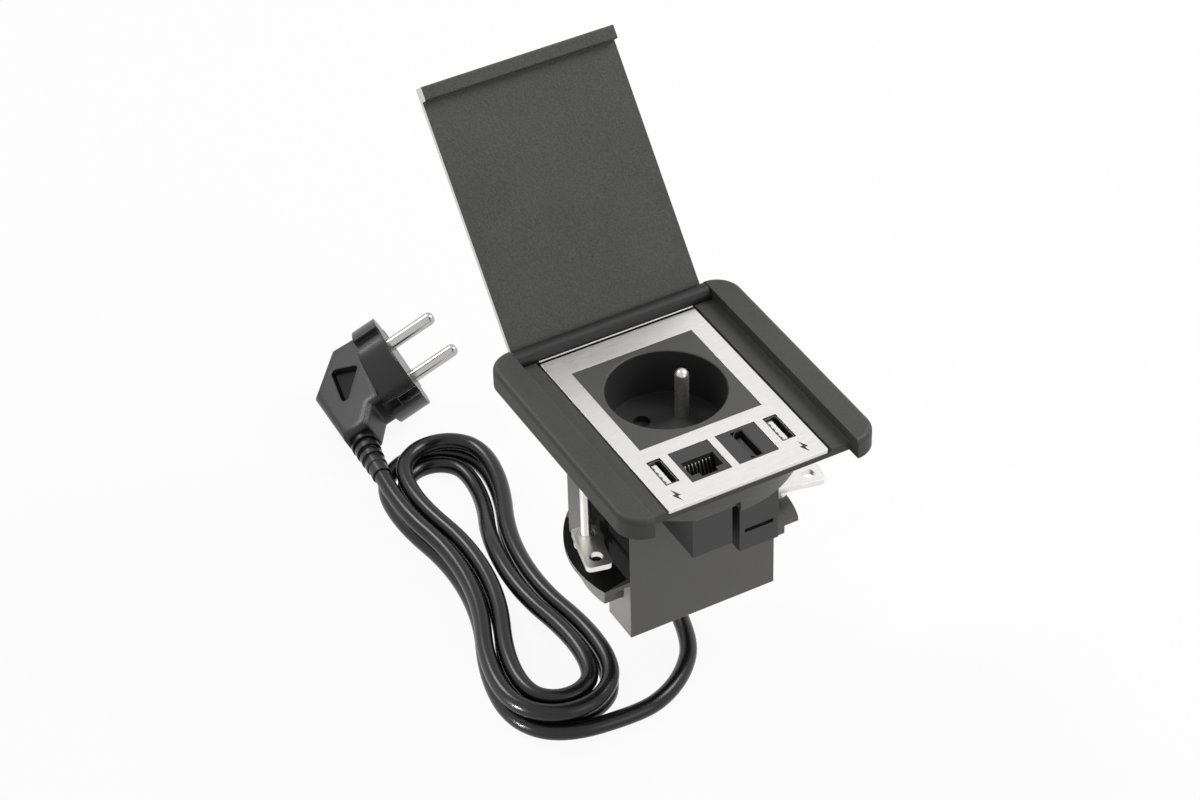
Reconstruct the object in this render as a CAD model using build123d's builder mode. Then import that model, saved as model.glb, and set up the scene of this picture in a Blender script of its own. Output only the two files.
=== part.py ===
from build123d import *
import math
import os

os.makedirs("parts", exist_ok=True)

# Flip-up desk socket, in millimetres. The origin is the centre of the desk cut-out, on the desk's
# top face. X runs along the front edge, Y towards the hinge and Z up.

# Trim frame that rests on the desk
frame_width = 92.0
frame_length = 97.0
frame_corner_r = 9.2
frame_edge_r = 2.0
rail_height = 7.3
rail_inner_x = 36.75
bridge_front_y = -43.3
ledge_height = 3.2
seat_half_x = 30.0
seat_back_y = 42.1
fit_gap = 0.2

# Brushed face plate and the thin strip behind it
plate_width = 58.2
plate_front_y = -43.1
plate_back_y = 40.9
plate_thick = 1.5
strip_thick = 0.4
strip_front_y = 41.6
strip_root = 1.0
strip_proud = 0.15

# Lid with its barrel and lip
lid_width = 71.4
lid_reach = 94.0
lid_thick = 2.0
lid_open_deg = 130.3
barrel_r = 3.3
barrel_width = 72.8
lip_width = 4.8
lip_depth = 3.3
hinge_y = 45.65
hinge_pin_r = 1.5
hinge_pin_length = 12.0
hinge_running_gap = 0.05
cradle_gap = 0.2

# Mounting ring that fills the round desk cut-out
ring_r = 39.5
ring_step_r = 39.1
ring_step_z = -8.1
ring_bottom_z = -12.3
ring_notch_y = -36.2
ring_notch_side = 0.8

# Earthed socket with its round recess
socket_y = 9.1
insert_size = 44.8
insert_flange = 4.4
recess_r = 20.0
recess_depth = 17.5
recess_floor = 2.0
cup_wall = 1.1
socket_turn_deg = 30.0
contact_spacing = 19.0
contact_hole_r = 2.9
earth_offset = 10.0
earth_pin_r = 2.4
earth_pin_top_z = 4.2
earth_pin_root = 9.0
socket_base_r = 20.2
socket_base_height = 18.0
sleeve_wall = 0.8
sleeve_bore_r = 2.45
sleeve_length = 13.0
shutter_thick = 1.5
shutter_width = 7.6
shutter_length = 28.0
shutter_travel = 7.0

# Charging ports
usb_x = 21.3
usb_y = -25.9
usb_width = 4.6
usb_length = 12.0
usb_window_width = 5.0
usb_window_length = 12.8
usb_depth = 11.0
usb_corner_r = 1.0
usb_wall = 0.35
usb_tongue_thick = 1.8
usb_tongue_length = 11.0
usb_contact_width = 1.1
usb_contact_pitch = 2.4
usb_contact_proud = 0.2
usb_contact_margin = 2.5

# Data modules in their keystone windows
keystone_x = 8.6
keystone_width = 14.4
keystone_back_y = -19.3
keystone_front_y = -35.0
keystone_face_z = 2.9
rj45_bottom_z = -28.8
hdmi_bottom_z = -33.8
rj45_opening_width = 11.7
rj45_opening_back_y = -25.0
rj45_opening_height = 6.9
rj45_tab_width = 6.0
rj45_tab_depth = 1.9
rj45_opening_depth = 12.0
rj45_wire_pitch = 1.27
rj45_wire_thick = 0.45
hdmi_opening_length = 14.0
hdmi_opening_width = 4.6
hdmi_narrow_length = 10.4
hdmi_shell_wall = 0.35
hdmi_opening_depth = 8.5
hdmi_tongue_thick = 1.6
hdmi_tongue_length = 10.6

# Housing that hangs below the ring
drum_r = 37.2
drum_half_x = 32.0
housing_half_x = 27.3
housing_front_y = -13.7
left_bay_back_y = 8.8
right_bay_back_y = 19.5
housing_wall = 1.5
seam_z = -50.8
tray_r = 39.2
tray_height = 1.6
step_r = 35.5
step_front_y = -9.0
step_bottom_z = -60.5
box_bottom_z = -75.2
box_back_y = 1.1
box_rear_half_x = 23.0
box_rear_y = 24.0

# Screws that join the base to the housing
boss_r = 2.8
boss_bore_r = 1.1
joint_bore_r = 1.4
joint_head_r = 2.3
joint_head_height = 1.6
joint_head_gap = 0.3
joint_sink = 3.0

# Clamp screws and claws
screw_x = 34.6
screw_y = 2.0
screw_r = 1.75
screw_head_r = 3.2
screw_head_height = 2.2
screw_tip_z = -50.4
thread_gap = 0.1
clip_r = 3.1
clip_thick = 0.6
claw_thick = 2.0
claw_width = 8.8
claw_reach = 16.6
claw_heel = 3.6
claw_hole_offset = 11.8
claw_hole_r = 2.2
claw_corner_r = 1.8
nut_spigot_r = 2.8
nut_flange_r = 4.2
nut_flange_height = 2.4
left_claw_z = -38.0
right_claw_z = -43.0
left_claw_deg = 257.0
right_claw_deg = 348.0

# Mains lead and its plug
cord_d = 6.0
floor_z = -101.0
gland_x = 9.0
gland_y = 28.6
gland_length = 13.0
gland_neck_r = 4.0
hank_gap = 0.9
layer_gap = 0.9
fold_r = 12.0
hank_run = 112.0
hank_x = -43.0
hank_y = 55.0
hank_turn_deg = -6.8
waist_draw = 8.5
plug_disc_r = 18.5
plug_rim = 8.0
plug_rim_low = 13.0
plug_back = 7.0
plug_grip_width = 15.0
plug_exit = 25.0
plug_tilt_deg = 25.0
plug_clip_width = 4.4
plug_clip_thick = 0.8
plug_groove = 5.5
plug_groove_depth = 2.5
plug_finger_depth = 2.0
plug_earth_r = 2.6
plug_earth_offset = 10.0
plug_pin_r = 2.4
plug_pin_length = 19.0
plug_pin_root = 8.0
plug_pin_spacing = 19.0
relief_r = 5.0
relief_length = 20.0

# Supply inside the base
board_width = 38.0
board_length = 31.0
board_y = 4.8
board_thick = 1.6
post_height = 2.5
post_r = 2.0
post_inset = 2.7
core_length = 17.0
core_width = 15.0
core_plate = 2.0
winding_length = 13.0
winding_height = 8.0
can_r = 4.0
can_height = 11.0
can_chamfer = 0.5
terminal_width = 24.0
terminal_depth = 8.0
terminal_height = 9.0
terminal_pitch = 7.5
terminal_bore_r = 1.6

# Derived levels
open_rad = math.radians(180 - lid_open_deg)
seat_z = ledge_height - plate_thick
hinge_z = rail_height - barrel_r
cradle_r = barrel_r + cradle_gap
recess_floor_z = ledge_height - recess_depth
cup_bottom_z = recess_floor_z - recess_floor
cup_r = recess_r + cup_wall
recess_chamfer = (insert_size / 2 - recess_r) / 6
flange_bottom_z = ledge_height - insert_flange
base_bottom_z = cup_bottom_z - socket_base_height
shutter_top_z = cup_bottom_z - fit_gap
tray_bottom_z = seam_z - tray_height
cord_r = cord_d / 2


# Trim frame: two rounded rails joined by a low bridge with windows for the modules
outer_half_x = frame_width / 2
outer_half_y = frame_length / 2
with BuildPart() as frame:
    with BuildSketch(Plane.XY) as outline:
        RectangleRounded(frame_width, frame_length, frame_corner_r)
    extrude(amount=rail_height)
    top_rim = frame.faces().sort_by(Axis.Z)[-1].edges()
    fillet(top_rim, frame_edge_r)
    with BuildSketch(Plane.XY.offset(ledge_height)) as valley:
        Rectangle(2 * rail_inner_x, frame_length + 1)
    extrude(amount=rail_height, mode=Mode.SUBTRACT)
    with BuildSketch(Plane.XY) as front_notch:
        with Locations((0, -outer_half_y)):
            Rectangle(2 * rail_inner_x, 2 * (outer_half_y + bridge_front_y))
    extrude(amount=rail_height, mode=Mode.SUBTRACT)
    with BuildSketch(Plane.XY.offset(seat_z)) as plate_seat:
        with Locations((0, (bridge_front_y + seat_back_y) / 2)):
            Rectangle(2 * seat_half_x, seat_back_y - bridge_front_y + 0.01)
    extrude(amount=rail_height, mode=Mode.SUBTRACT)
    # The barrel lies in a round cradle, and the open lid leans on the slope behind it
    with BuildSketch(Plane.YZ) as cradle:
        with Locations((hinge_y, hinge_z)):
            Circle(cradle_r)
        with Locations((hinge_y, hinge_z + cradle_r)):
            Rectangle(2 * cradle_r, 2 * cradle_r)
    extrude(amount=rail_inner_x, both=True, mode=Mode.SUBTRACT)
    slope_y = hinge_y + cradle_r * math.sin(open_rad)
    slope_z = hinge_z - cradle_r * math.cos(open_rad)
    run = 20.0
    with BuildSketch(Plane.YZ) as lid_slope:
        with BuildLine():
            Polyline(
                (slope_y, slope_z),
                (slope_y + run * math.cos(open_rad), slope_z + run * math.sin(open_rad)),
                (hinge_y, slope_z + run * math.sin(open_rad)),
                (hinge_y, hinge_z),
                close=True,
            )
        make_face()
    extrude(amount=rail_inner_x, both=True, mode=Mode.SUBTRACT)
    with BuildSketch(Plane.XY.offset(seat_z - strip_root)) as strip_slot:
        with Locations((0, strip_front_y + strip_thick / 2)):
            Rectangle(plate_width, strip_thick)
    extrude(amount=strip_root, mode=Mode.SUBTRACT)
    with BuildSketch(Plane.XY) as windows:
        with Locations((0, socket_y)):
            Rectangle(insert_size + 2 * fit_gap, insert_size + 2 * fit_gap)
        with Locations((keystone_x, (keystone_front_y + keystone_back_y) / 2),
                       (-keystone_x, (keystone_front_y + keystone_back_y) / 2)):
            Rectangle(keystone_width + 2 * fit_gap, keystone_back_y - keystone_front_y + 2 * fit_gap)
        with Locations((usb_x, usb_y), (-usb_x, usb_y)):
            Rectangle(usb_window_width, usb_window_length)
    extrude(amount=seat_z, mode=Mode.SUBTRACT)
    # Blind holes in the rails take the hinge pins
    for side in (-1, 1):
        with BuildSketch(Plane.YZ.offset(side * rail_inner_x)) as pin_hole:
            with Locations((hinge_y, hinge_z)):
                Circle(hinge_pin_r)
        extrude(amount=side * hinge_pin_length / 2, mode=Mode.SUBTRACT)
frame.part.label = "frame"
export_step(frame.part, "parts/frame.step")

# Brushed steel face plate with its five windows
with BuildPart() as face_plate:
    with BuildSketch(Plane.XY.offset(seat_z)) as plate_outline:
        with Locations((0, (plate_front_y + plate_back_y) / 2)):
            RectangleRounded(plate_width, plate_back_y - plate_front_y, 0.5)
        with Locations((0, socket_y)):
            Rectangle(insert_size + fit_gap, insert_size + fit_gap, mode=Mode.SUBTRACT)
        with Locations((keystone_x, (keystone_front_y + keystone_back_y) / 2),
                       (-keystone_x, (keystone_front_y + keystone_back_y) / 2)):
            Rectangle(keystone_width + fit_gap, keystone_back_y - keystone_front_y + fit_gap,
                      mode=Mode.SUBTRACT)
        with Locations((usb_x, usb_y), (-usb_x, usb_y)):
            RectangleRounded(usb_window_width, usb_window_length, 0.4, mode=Mode.SUBTRACT)
    extrude(amount=plate_thick)
face_plate.part.label = "face_plate"
export_step(face_plate.part, "parts/face_plate.step")

# Thin steel strip that closes the seat behind the plate
with BuildPart() as rear_strip:
    with BuildSketch(Plane.XY.offset(seat_z - strip_root)):
        with Locations((0, strip_front_y + strip_thick / 2)):
            Rectangle(plate_width - fit_gap, strip_thick)
    extrude(amount=strip_root + plate_thick + strip_proud)
rear_strip.part.label = "rear_strip"
export_step(rear_strip.part, "parts/rear_strip.step")

# Lid, drawn in the plane of its own section: u runs from the hinge to the lip, n is outwards
open_dir = (0, math.cos(open_rad), math.sin(open_rad))
lid_plane = Plane(origin=(0, hinge_y, hinge_z), x_dir=open_dir, z_dir=(-1, 0, 0))
inner_n = barrel_r - lid_thick
with BuildPart() as lid:
    with BuildSketch(lid_plane) as lid_section:
        with BuildLine():
            Polyline(
                (0, barrel_r),
                (lid_reach, barrel_r),
                (lid_reach, inner_n - lip_depth),
                (lid_reach - lip_width, inner_n - lip_depth),
                (lid_reach - lip_width, inner_n),
                (0, inner_n),
                close=True,
            )
        make_face()
    extrude(amount=lid_width / 2, both=True)
    lip_edges = lid.edges().filter_by(Axis.X).sort_by(
        lambda e: -(e.center() - lid_plane.origin).dot(lid_plane.x_dir))[0:3]
    fillet(lip_edges, 0.7)
    with BuildSketch(lid_plane) as barrel_section:
        Circle(barrel_r)
    extrude(amount=barrel_width / 2, both=True)
    with BuildSketch(lid_plane) as barrel_bore:
        Circle(hinge_pin_r + hinge_running_gap)
    extrude(amount=barrel_width / 2, both=True, mode=Mode.SUBTRACT)
lid.part.label = "lid"
export_step(lid.part, "parts/lid.step")

# Two steel pins pressed into the rails carry the barrel
with BuildPart() as hinge_pins:
    for side in (-1, 1):
        with BuildSketch(Plane.YZ.offset(side * (rail_inner_x + hinge_pin_length / 2))):
            with Locations((hinge_y, hinge_z)):
                Circle(hinge_pin_r)
        extrude(amount=-side * hinge_pin_length)
hinge_pins.part.label = "hinge_pins"
export_step(hinge_pins.part, "parts/hinge_pins.step")

# Mounting ring in the desk cut-out, with pockets for the modules and bores for the clamp screws
usb_spots = [(-usb_x, usb_y), (usb_x, usb_y)]
usb_bottom_z = keystone_face_z - usb_depth
screw_spots = [(-screw_x, screw_y), (screw_x, -screw_y)]
with BuildPart() as mount_ring:
    with BuildSketch(Plane.XY.offset(ring_step_z)):
        Circle(ring_r)
    extrude(amount=-ring_step_z)
    with BuildSketch(Plane.XY.offset(ring_bottom_z)):
        Circle(ring_step_r)
    extrude(amount=ring_step_z - ring_bottom_z)
    with BuildSketch(Plane.XY.offset(ring_bottom_z)) as ring_windows:
        with Locations((0, socket_y)):
            Circle(cup_r + fit_gap)
        with Locations((keystone_x, (keystone_front_y + keystone_back_y) / 2),
                       (-keystone_x, (keystone_front_y + keystone_back_y) / 2)):
            Rectangle(keystone_width + 2 * fit_gap, keystone_back_y - keystone_front_y + 2 * fit_gap)
    extrude(amount=-ring_bottom_z, mode=Mode.SUBTRACT)
    with BuildSketch(Plane.XY.offset(usb_bottom_z)) as port_pockets:
        with Locations(*usb_spots):
            RectangleRounded(usb_width, usb_length, usb_corner_r)
    extrude(amount=-usb_bottom_z, mode=Mode.SUBTRACT)
    with BuildSketch(Plane.XY.offset(flange_bottom_z)) as flange_pocket:
        with Locations((0, socket_y)):
            Rectangle(insert_size + 2 * fit_gap, insert_size + 2 * fit_gap)
    extrude(amount=-flange_bottom_z, mode=Mode.SUBTRACT)
    # Flat in front of the network jack, below the bore's rim
    with BuildSketch(Plane.XY.offset(ring_bottom_z)):
        with Locations((-keystone_x, ring_notch_y - ring_r / 2)):
            Rectangle(keystone_width + 2 * ring_notch_side, ring_r)
    extrude(amount=ring_step_z - ring_bottom_z, mode=Mode.SUBTRACT)
    with Locations(*[Location((x, y, 0)) for x, y in screw_spots]):
        CounterBoreHole(screw_r + thread_gap, screw_head_r + fit_gap, screw_head_height + fit_gap)
mount_ring.part.label = "mount_ring"
export_step(mount_ring.part, "parts/mount_ring.step")

# Socket insert: square flange, round recess, contact holes and the hole of the earth pin
turn = math.radians(socket_turn_deg)
earth_spot = (earth_offset * math.cos(turn), socket_y + earth_offset * math.sin(turn))
half_spacing = contact_spacing / 2
contact_spots = [
    (-half_spacing * math.sin(turn), socket_y + half_spacing * math.cos(turn)),
    (half_spacing * math.sin(turn), socket_y - half_spacing * math.cos(turn)),
]
with BuildPart() as socket_insert:
    with BuildSketch(Plane.XY.offset(flange_bottom_z)):
        with Locations((0, socket_y)):
            Rectangle(insert_size, insert_size)
    extrude(amount=insert_flange)
    with BuildSketch(Plane.XY.offset(cup_bottom_z)):
        with Locations((0, socket_y)):
            Circle(cup_r)
    extrude(amount=flange_bottom_z - cup_bottom_z)
    with BuildSketch(Plane.XY.offset(recess_floor_z)):
        with Locations((0, socket_y)):
            Circle(recess_r)
    extrude(amount=recess_depth, mode=Mode.SUBTRACT)
    chamfer(socket_insert.edges().filter_by(GeomType.CIRCLE).sort_by(Axis.Z)[-1], recess_chamfer)
    with BuildSketch(Plane.XY.offset(cup_bottom_z)):
        with Locations(*contact_spots):
            Circle(contact_hole_r)
        with Locations(earth_spot):
            Circle(earth_pin_r)
    extrude(amount=recess_floor, mode=Mode.SUBTRACT)
socket_insert.part.label = "socket_insert"
export_step(socket_insert.part, "parts/socket_insert.step")

# Earth pin with its round tip
with BuildPart() as earth_pin:
    with BuildSketch(Plane.XY.offset(cup_bottom_z - earth_pin_root)):
        with Locations(earth_spot):
            Circle(earth_pin_r)
    extrude(amount=earth_pin_top_z - cup_bottom_z + earth_pin_root)
    fillet(earth_pin.edges().filter_by(GeomType.CIRCLE).sort_by(Axis.Z)[-1], earth_pin_r - 0.1)
earth_pin.part.label = "earth_pin"
export_step(earth_pin.part, "parts/earth_pin.step")

# Back half of the socket, with the shutter's pocket and the bores of the contact sleeves
shutter_plane = Plane(origin=(0, socket_y, shutter_top_z - shutter_thick),
                      x_dir=(math.cos(turn), math.sin(turn), 0), z_dir=(0, 0, 1))
sleeve_r = sleeve_bore_r + sleeve_wall
sleeve_top_z = shutter_top_z - shutter_thick - fit_gap
with BuildPart() as socket_base:
    with BuildSketch(Plane.XY.offset(base_bottom_z)):
        with Locations((0, socket_y)):
            Circle(socket_base_r)
    extrude(amount=socket_base_height)
    with BuildSketch(shutter_plane.offset(-fit_gap)) as pocket:
        with Locations((-shutter_travel / 2, 0)):
            Rectangle(shutter_width + shutter_travel + 2 * fit_gap, shutter_length + 2 * fit_gap)
    extrude(amount=shutter_thick + 2 * fit_gap, mode=Mode.SUBTRACT)
    with BuildSketch(Plane.XY.offset(sleeve_top_z - sleeve_length)):
        with Locations(*contact_spots):
            Circle(sleeve_r)
    extrude(amount=sleeve_length, mode=Mode.SUBTRACT)
    with BuildSketch(Plane.XY.offset(cup_bottom_z - earth_pin_root)):
        with Locations(earth_spot):
            Circle(earth_pin_r)
    extrude(amount=earth_pin_root, mode=Mode.SUBTRACT)
socket_base.part.label = "socket_base"
export_step(socket_base.part, "parts/socket_base.step")

# Spring-loaded shutter that closes both contact holes
with BuildPart() as shutter:
    with BuildSketch(shutter_plane):
        RectangleRounded(shutter_width, shutter_length, 1.0)
    extrude(amount=shutter_thick)
    chamfer(shutter.faces().sort_by(Axis.Z)[-1].edges().filter_by(GeomType.LINE), 0.5)
shutter.part.label = "shutter"
export_step(shutter.part, "parts/shutter.step")

# Split sleeves that grip the plug's pins
with BuildPart() as contact_sleeves:
    with BuildSketch(Plane.XY.offset(sleeve_top_z - sleeve_length)):
        with Locations(*contact_spots):
            Circle(sleeve_r)
            Circle(sleeve_bore_r, mode=Mode.SUBTRACT)
    extrude(amount=sleeve_length)
    with BuildSketch(Plane.XY.offset(sleeve_top_z - sleeve_length + 3)):
        with Locations(*contact_spots):
            Rectangle(0.6, 3 * sleeve_r)
    extrude(amount=sleeve_length, mode=Mode.SUBTRACT)
contact_sleeves.part.label = "contact_sleeves"
export_step(contact_sleeves.part, "parts/contact_sleeves.step")

# Shells, tongues and contact strips of the two charging ports
with BuildPart() as usb_shells:
    with BuildSketch(Plane.XY.offset(usb_bottom_z)):
        with Locations(*usb_spots):
            RectangleRounded(usb_width, usb_length, usb_corner_r)
    extrude(amount=usb_depth)
    with BuildSketch(Plane.XY.offset(usb_bottom_z + usb_wall)):
        with Locations(*usb_spots):
            RectangleRounded(usb_width - 2 * usb_wall, usb_length - 2 * usb_wall, usb_corner_r - usb_wall)
    extrude(amount=usb_depth, mode=Mode.SUBTRACT)
usb_shells.part.label = "usb_shells"
export_step(usb_shells.part, "parts/usb_shells.step")

tongue_offset = -(usb_width / 2 - usb_wall - usb_tongue_thick / 2 - 0.35)
tongue_spots = [(x + tongue_offset, y) for x, y in usb_spots]
with BuildPart() as usb_tongues:
    with BuildSketch(Plane.XY.offset(usb_bottom_z + usb_wall)):
        with Locations(*tongue_spots):
            Rectangle(usb_tongue_thick, usb_tongue_length)
    extrude(amount=usb_depth - usb_wall - 0.5)
    chamfer(usb_tongues.faces().sort_by(Axis.Z)[-2:].edges().filter_by(Axis.Y), 0.4)
usb_tongues.part.label = "usb_tongues"
export_step(usb_tongues.part, "parts/usb_tongues.step")

with BuildPart() as usb_contacts:
    for x, y in tongue_spots:
        with BuildSketch(Plane.XY.offset(usb_bottom_z + usb_contact_margin)):
            with Locations((x + usb_tongue_thick / 2 + usb_contact_proud / 2, y)):
                with GridLocations(1, usb_contact_pitch, 1, 4):
                    Rectangle(usb_contact_proud, usb_contact_width)
        extrude(amount=usb_depth - 2 * usb_contact_margin)
usb_contacts.part.label = "usb_contacts"
export_step(usb_contacts.part, "parts/usb_contacts.step")

# Network jack: a block that drops through the plate, wider towards the housing below the ring
keystone_y = (keystone_front_y + keystone_back_y) / 2
keystone_length = keystone_back_y - keystone_front_y
module_length = housing_front_y - keystone_front_y
module_y = (housing_front_y + keystone_front_y) / 2
module_top_z = ring_bottom_z
with BuildPart() as rj45_body:
    with BuildSketch(Plane.XY.offset(module_top_z)):
        with Locations((-keystone_x, keystone_y)):
            Rectangle(keystone_width, keystone_length)
    extrude(amount=keystone_face_z - module_top_z)
    with BuildSketch(Plane.XY.offset(rj45_bottom_z)):
        with Locations((-keystone_x, module_y)):
            Rectangle(keystone_width, module_length)
    extrude(amount=module_top_z - rj45_bottom_z)
    with BuildSketch(Plane.XY.offset(keystone_face_z - rj45_opening_depth)):
        with Locations((-keystone_x, rj45_opening_back_y - rj45_opening_height / 2)):
            Rectangle(rj45_opening_width, rj45_opening_height)
        with Locations((-keystone_x, rj45_opening_back_y - rj45_opening_height - rj45_tab_depth / 2)):
            Rectangle(rj45_tab_width, rj45_tab_depth + 0.01)
    extrude(amount=rj45_opening_depth, mode=Mode.SUBTRACT)
rj45_body.part.label = "rj45_body"
export_step(rj45_body.part, "parts/rj45_body.step")

# Eight spring wires slope down from the back wall of the jack
wire_top_z = keystone_face_z - 1.6
wire_drop = 7.5
wire_run = 4.2
with BuildPart() as rj45_wires:
    for index in range(8):
        wire_x = -keystone_x + (index - 3.5) * rj45_wire_pitch
        with BuildSketch(Plane.YZ.offset(wire_x)):
            with BuildLine():
                Polyline(
                    (rj45_opening_back_y, wire_top_z),
                    (rj45_opening_back_y - 0.5, wire_top_z),
                    (rj45_opening_back_y - wire_run, wire_top_z - wire_drop),
                    (rj45_opening_back_y - wire_run, wire_top_z - wire_drop - 1),
                    (rj45_opening_back_y, wire_top_z - 1.2),
                    close=True,
                )
            make_face()
        extrude(amount=rj45_wire_thick / 2, both=True)
rj45_wires.part.label = "rj45_wires"
export_step(rj45_wires.part, "parts/rj45_wires.step")

# Video jack: the same block, deeper, with the latch slot on its front
latch_slot_z = -25.7
latch_slot_height = 1.7
latch_slot_width = 10.8
latch_slot_depth = 1.5
with BuildPart() as hdmi_body:
    with BuildSketch(Plane.XY.offset(module_top_z)):
        with Locations((keystone_x, keystone_y)):
            Rectangle(keystone_width, keystone_length)
    extrude(amount=keystone_face_z - module_top_z)
    with BuildSketch(Plane.XY.offset(hdmi_bottom_z)):
        with Locations((keystone_x, module_y)):
            Rectangle(keystone_width, module_length)
    extrude(amount=module_top_z - hdmi_bottom_z)
    with BuildSketch(Plane.XZ.offset(-keystone_front_y)):
        with Locations((keystone_x, latch_slot_z)):
            Rectangle(latch_slot_width, latch_slot_height)
    extrude(amount=-latch_slot_depth, mode=Mode.SUBTRACT)
    with BuildSketch(Plane.XY.offset(keystone_face_z - hdmi_opening_depth)):
        with Locations((keystone_x, keystone_y)):
            Rectangle(hdmi_opening_width, hdmi_opening_length)
    extrude(amount=hdmi_opening_depth, mode=Mode.SUBTRACT)
hdmi_body.part.label = "hdmi_body"
export_step(hdmi_body.part, "parts/hdmi_body.step")

with BuildPart() as hdmi_shell:
    with BuildSketch(Plane.XY.offset(keystone_face_z - hdmi_opening_depth)) as hdmi_outline:
        with BuildLine():
            Polyline(
                (keystone_x + hdmi_opening_width / 2, keystone_y - hdmi_opening_length / 2),
                (keystone_x + hdmi_opening_width / 2, keystone_y + hdmi_opening_length / 2),
                (keystone_x - 0.4, keystone_y + hdmi_opening_length / 2),
                (keystone_x - hdmi_opening_width / 2, keystone_y + hdmi_narrow_length / 2),
                (keystone_x - hdmi_opening_width / 2, keystone_y - hdmi_narrow_length / 2),
                (keystone_x - 0.4, keystone_y - hdmi_opening_length / 2),
                close=True,
            )
        make_face()
        offset(amount=-hdmi_shell_wall, kind=Kind.INTERSECTION, mode=Mode.SUBTRACT)
    extrude(amount=hdmi_opening_depth - 0.2)
hdmi_shell.part.label = "hdmi_shell"
export_step(hdmi_shell.part, "parts/hdmi_shell.step")

with BuildPart() as hdmi_tongue:
    with BuildSketch(Plane.XY.offset(keystone_face_z - hdmi_opening_depth)):
        with Locations((keystone_x, keystone_y)):
            Rectangle(hdmi_tongue_thick, hdmi_tongue_length)
    extrude(amount=hdmi_opening_depth - 2)
hdmi_tongue.part.label = "hdmi_tongue"
export_step(hdmi_tongue.part, "parts/hdmi_tongue.step")

# Housing plan: the drum, flattened at both sides and at the front, with bays for the claws
front_boss = (housing_half_x - housing_wall - boss_r + 0.5, housing_front_y + housing_wall + boss_r - 0.5)
rear_boss = (20.0, 27.0)
boss_spots = [
    (-front_boss[0], front_boss[1]),
    front_boss,
    (-rear_boss[0], rear_boss[1]),
    rear_boss,
]


def drum_plan(inset):
    """Return the housing's plan, drawn in by the given wall."""
    with BuildSketch() as plan:
        Circle(drum_r - inset)
        Rectangle(2 * (drum_half_x - inset), 2 * drum_r, mode=Mode.INTERSECT)
        with Locations((0, housing_front_y + inset - drum_r)):
            Rectangle(2 * drum_r, 2 * drum_r, mode=Mode.SUBTRACT)
        with Locations((-housing_half_x + inset - drum_r, left_bay_back_y + inset - drum_r),
                       (housing_half_x - inset + drum_r, right_bay_back_y + inset - drum_r)):
            Rectangle(2 * drum_r, 2 * drum_r, mode=Mode.SUBTRACT)
    return plan.sketch


with BuildPart() as main_housing:
    with BuildSketch(Plane.XY.offset(seam_z)):
        add(drum_plan(0))
    extrude(amount=ring_bottom_z - seam_z)
    with BuildSketch(Plane.XY.offset(seam_z)):
        add(drum_plan(housing_wall))
    extrude(amount=ring_bottom_z - seam_z - housing_wall, mode=Mode.SUBTRACT)
    with BuildSketch(Plane.XY.offset(seam_z)):
        with Locations(*boss_spots):
            Circle(boss_r)
    extrude(amount=ring_bottom_z - seam_z - housing_wall)
    with BuildSketch(Plane.XY.offset(seam_z)):
        with Locations(*boss_spots):
            Circle(boss_bore_r)
    extrude(amount=12, mode=Mode.SUBTRACT)
    with BuildSketch(Plane.XY.offset(ring_bottom_z - 2 * housing_wall)):
        with Locations((0, socket_y)):
            Circle(cup_r + fit_gap)
    extrude(amount=4 * housing_wall, mode=Mode.SUBTRACT)
main_housing.part.label = "main_housing"
export_step(main_housing.part, "parts/main_housing.step")

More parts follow.
